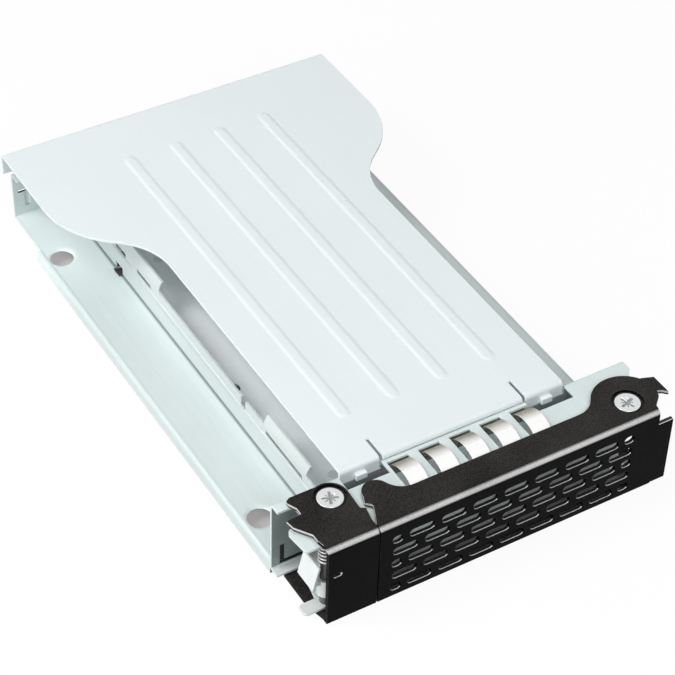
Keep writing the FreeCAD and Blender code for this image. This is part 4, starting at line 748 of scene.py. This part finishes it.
editPick(coverT, "FACE", ribTops(coverSet["ribTop"]))
bpy.ops.mesh.inset(thickness=coverSet["slope"] * mm, depth=0, use_even_offset=True)
leaveEdit()
for point in coverT.data.vertices:  # the outlines of the ribs go down to the cover and run out a little wider
    ribX = min(coverSet["ribAcross"], key=lambda ribAt: abs(ribAt * mm - point.co.x)) * mm
    ribHalf = coverSet["ribHalf"] * mm
    spineY = min(max(point.co.y, coverSet["ribFront"] * mm + ribHalf), coverSet["ribRear"] * mm - ribHalf)
    away = Vector((point.co.x - ribX, point.co.y - spineY, 0))
    onRim = abs(away.length - ribHalf) < coverSet["near"] * mm
    if onRim and point.co.z > (coverSet["top"] - coverSet["touch"]) * mm:
        point.co += away.normalized() * coverSet["spread"] * mm
        point.co.z = coverSet["top"] * mm
    else:  # and their tops are lower, as on the photograph
        point.co.z = min(point.co.z, coverSet["ribSeen"] * mm)
editAll(coverT)
bpy.ops.mesh.remove_doubles(threshold=coverSet["merge"] * mm)
leaveEdit()
editPick(coverT, "FACE", ribTops(coverSet["ribSeen"]))
bpy.ops.mesh.region_to_loop()
bpy.ops.mesh.bevel(offset=coverSet["crown"] * mm, segments=coverSet["crownSteps"], affect="EDGES")
leaveEdit()
takeOffEdges(coverT, coverSet["edge"], coverSet["edgeSteps"])
settle(coverT, "coverSheet", "carrier", "top_cover")
print("cover done")

# levers: soft edges, bare steel on the punched edges, partly a painted highlight
pivots = {"handle": (43.3, -83.3), "cap": (-40.5, -74.9)}  # mm
leverSet = {  # mm; facing: share of a normal
    "edge": 0.12, "edgeSteps": 2, "sheet": 1.2, "top": 27.3, "foldBack": 2.3, "ringRadius": 4.8,
    "slotHigh": (1.5, 24.5), "slotFacing": 0.6, "sideFacing": 0.4, "oval": (-47.1, 17.3), "ovalReach": 3.0,
    "pieces": {"handle_lever": ("handleLever", "handle"), "cap_lever": ("capLever", "cap")},  # piece, body
}


def onOutline(face, pivot):  # true on the punched outline of a lever's top
    middle = face.center / mm
    ring = math.hypot(middle.x - pivot[0], middle.y - pivot[1]) < leverSet["ringRadius"]
    inTop = middle.z > leverSet["top"] - leverSet["sheet"] and middle.y - frontFace / mm > leverSet["foldBack"]
    return inTop and abs(face.normal.z) < leverSet["sideFacing"] and not ring


def inSlot(face):  # true on the lower wall of a slot and all round the oval hole
    middle = face.center / mm
    low, high = leverSet["slotHigh"]
    inFront = middle.y - frontFace / mm < leverSet["sheet"] and low < middle.z < high
    nearOval = math.hypot(middle.x - leverSet["oval"][0], middle.z - leverSet["oval"][1]) < leverSet["ovalReach"]
    inOval = nearOval and abs(face.normal.y) < leverSet["sideFacing"]
    return inFront and (face.normal.z > leverSet["slotFacing"] or inOval)


for nodeName, (pieceName, bodyName) in leverSet["pieces"].items():
    lever = mergedCopy(nodeName, pieceName)
    takeOffEdges(lever, leverSet["edge"], leverSet["edgeSteps"])
    settle(lever, "blackPowder", bodyName, nodeName)
    assign(lever, "cutSteelAndHighlight", lambda face: onOutline(face, pivots[bodyName]))
    assign(lever, "slotSteelAndHighlight", inSlot)
print("levers done")

# pivot screw: dished head with a rim, cross recess, shoulder and threaded end, made once for both pivots
screwSet = {  # mm, degrees
    "headRadius": 3.45, "headLow": 26.5, "headTop": 26.95, "headSides": 48,
    "rim": 0.16, "rimSteps": 3, "rimWidth": 0.4, "dish": 0.07,
    "shoulderRadius": 2.5, "shoulderLow": 25.6,
    "threadRadius": 1.5, "threadEnd": 21.4, "threadPitch": 0.5, "threadDepth": 0.13, "threadGap": 0.9,
    "recess": ((0, 6.0, 1.1), (90, 6.0, 1.1), (45, 4.6, 0.5), (135, 4.6, 0.5)),  # turn, length and width of each arm
    "recessDepth": 0.4, "recessTaper": 0.6, "edge": 0.04, "edgeSteps": 2, "edgeAngle": 50, "smoothAngle": 35,
    "copies": {"handle_pivot_screw": ("handleScrew", "handle", 18),
               "cap_pivot_screw": ("capScrew", "cap", -22)},  # piece, pivot, turn of the cross
}


def stepDown(narrower, lower):  # the selected end set in and drawn down, mm
    bpy.ops.mesh.inset(thickness=narrower * mm)
    bpy.ops.mesh.extrude_region_move(TRANSFORM_OT_translate={"value": (0, 0, -lower * mm)})


def turnThread(screw):  # the grooves of the threaded end
    ridge = screwSet["threadEnd"] + screwSet["threadPitch"] / 2
    small = 1 - screwSet["threadDepth"] / screwSet["threadRadius"]
    crest = True
    while ridge < screwSet["shoulderLow"] - screwSet["threadGap"]:
        height = ridge * mm
        editAll(screw)
        bpy.ops.mesh.bisect(plane_co=(0, 0, height), plane_no=(0, 0, 1))
        leaveEdit()
        if not crest:
            editPick(screw, "EDGE", lambda edge: max(abs(h - height) for h in heights(screw, edge)) < tiny)
            bpy.ops.transform.resize(value=(small, small, 1), center_override=(0, 0, height))
            leaveEdit()
        crest = not crest
        ridge += screwSet["threadPitch"] / 2


def cutRecess(screw):  # the arms of the recess, narrower at the bottom
    taper = screwSet["recessTaper"]
    for turn, long, wide in screwSet["recess"]:
        bpy.ops.object.select_all(action="DESELECT")
        bpy.ops.mesh.primitive_cube_add(size=1, location=(0, 0, screwSet["headTop"] * mm))
        cutter = bpy.context.object
        cutter.scale = (long * mm, wide * mm, 2 * screwSet["recessDepth"] * mm)
        cutter.rotation_euler = (0, 0, math.radians(turn))
        bpy.ops.object.transform_apply(location=True, rotation=True, scale=True)
        editPick(cutter, "FACE", lambda face: face.normal.z < -level)
        bpy.ops.transform.resize(value=(taper, taper, 1), center_override=(0, 0, 0))
        leaveEdit()
        carve(screw, cutter)


def makeScrew():
    head = screwSet["headTop"] - screwSet["headLow"]
    bpy.ops.object.select_all(action="DESELECT")
    bpy.ops.mesh.primitive_cylinder_add(vertices=screwSet["headSides"], radius=screwSet["headRadius"] * mm,
                                        depth=head * mm, location=(0, 0, (screwSet["headLow"] + head / 2) * mm))
    screw = bpy.context.object
    bpy.ops.object.transform_apply(location=True, rotation=False, scale=False)
    editPick(screw, "FACE", lambda face: face.normal.z < -level)
    stepDown(screwSet["headRadius"] - screwSet["shoulderRadius"], screwSet["headLow"] - screwSet["shoulderLow"])
    stepDown(screwSet["shoulderRadius"] - screwSet["threadRadius"], screwSet["shoulderLow"] - screwSet["threadEnd"])
    leaveEdit()
    editPick(screw, "FACE", lambda face: face.normal.z > level)
    bpy.ops.mesh.region_to_loop()
    bpy.ops.mesh.bevel(offset=screwSet["rim"] * mm, segments=screwSet["rimSteps"], affect="EDGES")
    leaveEdit()
    editPick(screw, "FACE", lambda face: face.normal.z > flat)
    bpy.ops.mesh.inset(thickness=screwSet["rimWidth"] * mm, depth=-screwSet["dish"] * mm)
    leaveEdit()
    turnThread(screw)
    cutRecess(screw)
    trim(screw, "BEVEL", width=screwSet["edge"] * mm, segments=screwSet["edgeSteps"], limit_method="ANGLE",
         angle_limit=math.radians(screwSet["edgeAngle"]))
    return screw


screwMaster = makeScrew()
for nodeName, (pieceName, pivotName, crossTurn) in screwSet["copies"].items():
    pick(screwMaster)
    bpy.ops.object.duplicate()
    screwPiece = bpy.context.object
    screwPiece.name = pieceName
    screwPiece.rotation_euler = (0, 0, math.radians(crossTurn))
    screwPiece.location = (pivots[pivotName][0] * mm, pivots[pivotName][1] * mm, 0)
    bpy.ops.object.transform_apply(location=True, rotation=True, scale=False)
    smooth(screwPiece, screwSet["smoothAngle"])
    settle(screwPiece, "screwSteel", "carrier", nodeName)
bpy.data.objects.remove(screwMaster)
print("screws done")

# catch spring: round wire wound on the post, one end bent forward into the oval hole
springSet = {  # mm, degrees
    "post": (-47.1, -84.7), "coilRadius": 1.95, "wireRadius": 0.25, "wireSides": 10, "low": 17.2, "high": 23.2,
    "turns": 5, "stepsPerTurn": 28, "startReach": 1.05, "bend": 0.6, "bendSteps": 6,
    "legEnd": -90.2, "legSteps": 6, "legBends": (-87.1, -89.2), "smoothAngle": 50,
}
postX, postY = springSet["post"]
bendTurn = math.asin(springSet["bend"] / springSet["coilRadius"])  # the coil starts where the bend ends
bendMiddle = springSet["coilRadius"] + springSet["bend"]
coilTurn = springSet["turns"] * 2 * math.pi - bendTurn
coilRise = (springSet["high"] - springSet["low"]) * mm
coilSteps = springSet["turns"] * springSet["stepsPerTurn"]
bpy.ops.object.select_all(action="DESELECT")
bpy.ops.mesh.primitive_circle_add(vertices=springSet["wireSides"], radius=springSet["wireRadius"] * mm,
                                  fill_type="NOTHING", location=(0, -springSet["coilRadius"] * mm, 0),
                                  rotation=(0, math.pi / 2, 0))
catchSpring = bpy.context.object
catchSpring.name = "catchSpring"
bpy.ops.object.transform_apply(location=True, rotation=True, scale=False)
trim(catchSpring, "SCREW", axis="Z", angle=coilTurn, screw_offset=coilRise, iterations=1, steps=coilSteps,
     render_steps=coilSteps, use_merge_vertices=False, use_normal_calculate=True)


def atStart(edge):  # the open lower end of the coil
    reach = springSet["startReach"] * springSet["wireRadius"] * mm
    sideways = max(abs(catchSpring.data.vertices[i].co.x) for i in edge.vertices)
    return max(heights(catchSpring, edge)) < reach and sideways < tiny


editPick(catchSpring, "EDGE", atStart)
bpy.ops.mesh.spin(steps=springSet["bendSteps"], angle=-math.pi / 2, center=(0, -bendMiddle * mm, 0), axis=(0, 0, 1))
legStep = (springSet["legEnd"] - postY + bendMiddle) / springSet["legSteps"]  # from the bend to the leg's end
for legNumber in range(springSet["legSteps"]):
    bpy.ops.mesh.extrude_region_move(TRANSFORM_OT_translate={"value": (0, legStep * mm, 0)})
leaveEdit()
editAll(catchSpring)
bpy.ops.mesh.remove_doubles(threshold=meshSet["merge"] * mm)
bpy.ops.mesh.select_all(action="DESELECT")
bpy.ops.mesh.select_mode(type="EDGE")
bpy.ops.mesh.select_non_manifold()  # both ends of the wire are closed
bpy.ops.mesh.edge_face_add()
bpy.ops.mesh.select_all(action="SELECT")
bpy.ops.mesh.normals_make_consistent(inside=False)
bpy.ops.transform.rotate(value=-bendTurn, orient_axis="Z", center_override=(0, 0, 0))
bpy.ops.transform.translate(value=(postX * mm, postY * mm, springSet["low"] * mm))
leaveEdit()
smooth(catchSpring, springSet["smoothAngle"])
catchSpring.data.materials.append(finishes["springSteel"])
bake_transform(catchSpring)  # the leg reaches into the hole of the short lever
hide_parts("catch_spring")
print("spring done")
